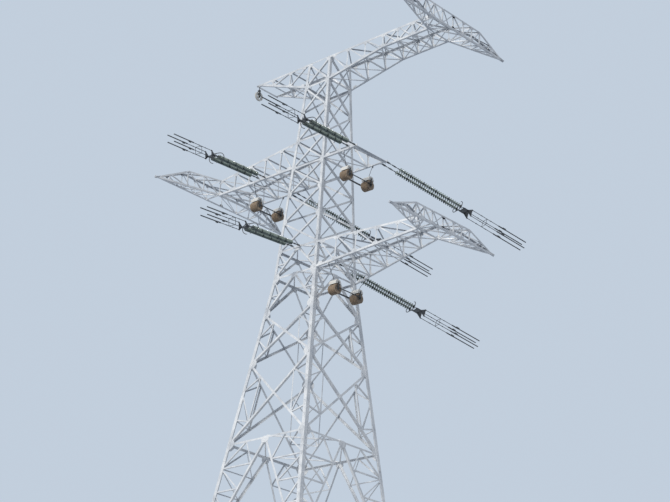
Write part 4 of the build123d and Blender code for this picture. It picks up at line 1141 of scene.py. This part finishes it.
class StageSetup(bpy.types.Operator):
    """Add the floor, the backdrop, the lights and the camera"""

    bl_idname = "tower.stage"
    bl_label = "Stage"

    def execute(self, context):
        look = context.scene.tower_stage
        self.floor(look)
        self.world(context.scene, look)
        self.sun(look)
        self.camera(context.scene)
        context.scene.view_settings.view_transform = "Standard"
        return {"FINISHED"}

    def floor(self, look):
        """A round floor under the feet."""
        bm = bmesh.new()
        bmesh.ops.create_circle(bm, cap_ends=True, segments=96, radius=look.floor_radius)
        thicken(bm, list(bm.faces)[0], (0, 0, -FLOOR_THICK))
        floor = make_object("floor", bm, [plain_floor("pale_floor", look.floor)])

    def world(self, scene, look):
        """Soft even light, with a pale backdrop for the camera and for reflections."""
        world = bpy.data.worlds.new("studio")
        scene.world = world
        world.use_nodes = True
        tree = world.node_tree
        background = feed_node(tree, tree.nodes["Background"], Color=(0.80, 0.87, 1.0, 1),
                               Strength=0.36)
        backdrop = node(tree, "ShaderNodeBackground", Color=(*look.backdrop, 1), Strength=1.0)
        rays = tree.nodes.new("ShaderNodeLightPath")
        seen = rays.outputs["Is Camera Ray"]
        for name in ("Is Glossy Ray", "Is Transmission Ray"):
            either = node(tree, "ShaderNodeMath", Value=seen)
            either.operation = "MAXIMUM"
            tree.links.new(rays.outputs[name], either.inputs[1])
            seen = either.outputs[0]
        mix = tree.nodes.new("ShaderNodeMixShader")
        for socket, source in zip(mix.inputs, (seen, background.outputs[0], backdrop.outputs[0])):
            tree.links.new(source, socket)
        tree.links.new(mix.outputs[0], tree.nodes["World Output"].inputs["Surface"])

    def sun(self, look):
        """A soft sun from above the viewer's left shoulder."""
        lamp = bpy.data.lights.new("sun", "SUN")
        lamp.energy = look.sun_strength
        lamp.angle = math.radians(12)
        lamp.color = (1.0, 0.97, 0.92)
        towards = Vector((0.15, -0.75, 0.55))
        add_object("sun", lamp).rotation_euler = towards.to_track_quat("Z", "Y").to_euler()

    def camera(self, scene):
        """The camera at the photograph's place, far below the tower."""
        camera = bpy.data.cameras.new("photo_camera")
        camera.sensor_width = SENSOR_WIDTH
        camera.lens = FOCAL_PIXELS * SENSOR_WIDTH / PHOTO_WIDTH
        camera.clip_end = 1000.0
        ahead = Vector((-math.sin(CAMERA_YAW) * math.cos(CAMERA_PITCH),
                        math.cos(CAMERA_YAW) * math.cos(CAMERA_PITCH), math.sin(CAMERA_PITCH)))
        level_right = Vector((math.cos(CAMERA_YAW), math.sin(CAMERA_YAW), 0))
        level_up = level_right.cross(ahead)
        right = level_right * math.cos(CAMERA_ROLL) + level_up * math.sin(CAMERA_ROLL)
        up = level_up * math.cos(CAMERA_ROLL) - level_right * math.sin(CAMERA_ROLL)
        scene.camera = add_object("photo_camera", camera)
        scene.camera.matrix_world = axes_matrix(CAMERA_PLACE, right, up, -ahead)


class TowerPanel(bpy.types.Panel):
    """Lists the tower's operators and settings"""

    bl_label = "Tower"
    bl_idname = "TOWER_PT_main"
    bl_space_type = "VIEW_3D"
    bl_region_type = "UI"
    bl_category = "Tower"

    def draw(self, context):
        for group in ("tower_steel", "tower_strings", "tower_blocks", "tower_stage"):
            settings = getattr(context.scene, group)
            column = self.layout.column()
            for name in settings.__annotations__:
                column.prop(settings, name)
        for operator in OPERATORS:
            self.layout.operator(operator.bl_idname)


SETTINGS = {"tower_steel": SteelSettings, "tower_strings": StringSettings,
            "tower_blocks": BlockSettings, "tower_stage": StageSettings}
OPERATORS = [StageSetup, TowerFinish, TowerGussets, TowerSplices, TowerArmPlates, StringDiscs,
             StringDetails, BlockWheels, BlockCovers, BlockDetails]


def register():
    """Register the settings, the operators and the panel."""
    for name, group in SETTINGS.items():
        bpy.utils.register_class(group)
        setattr(bpy.types.Scene, name, bpy.props.PointerProperty(type=group))
    for operator in OPERATORS:
        bpy.utils.register_class(operator)
    bpy.utils.register_class(TowerPanel)


def unregister():
    """Undo what register did."""
    bpy.utils.unregister_class(TowerPanel)
    for operator in reversed(OPERATORS):
        bpy.utils.unregister_class(operator)
    for name, group in SETTINGS.items():
        delattr(bpy.types.Scene, name)
        bpy.utils.unregister_class(group)


def main():
    """Run every operator in order."""
    register()
    for operator in OPERATORS:
        group, name = operator.bl_idname.split(".")
        getattr(getattr(bpy.ops, group), name)()


if __name__ == "__main__":
    main()
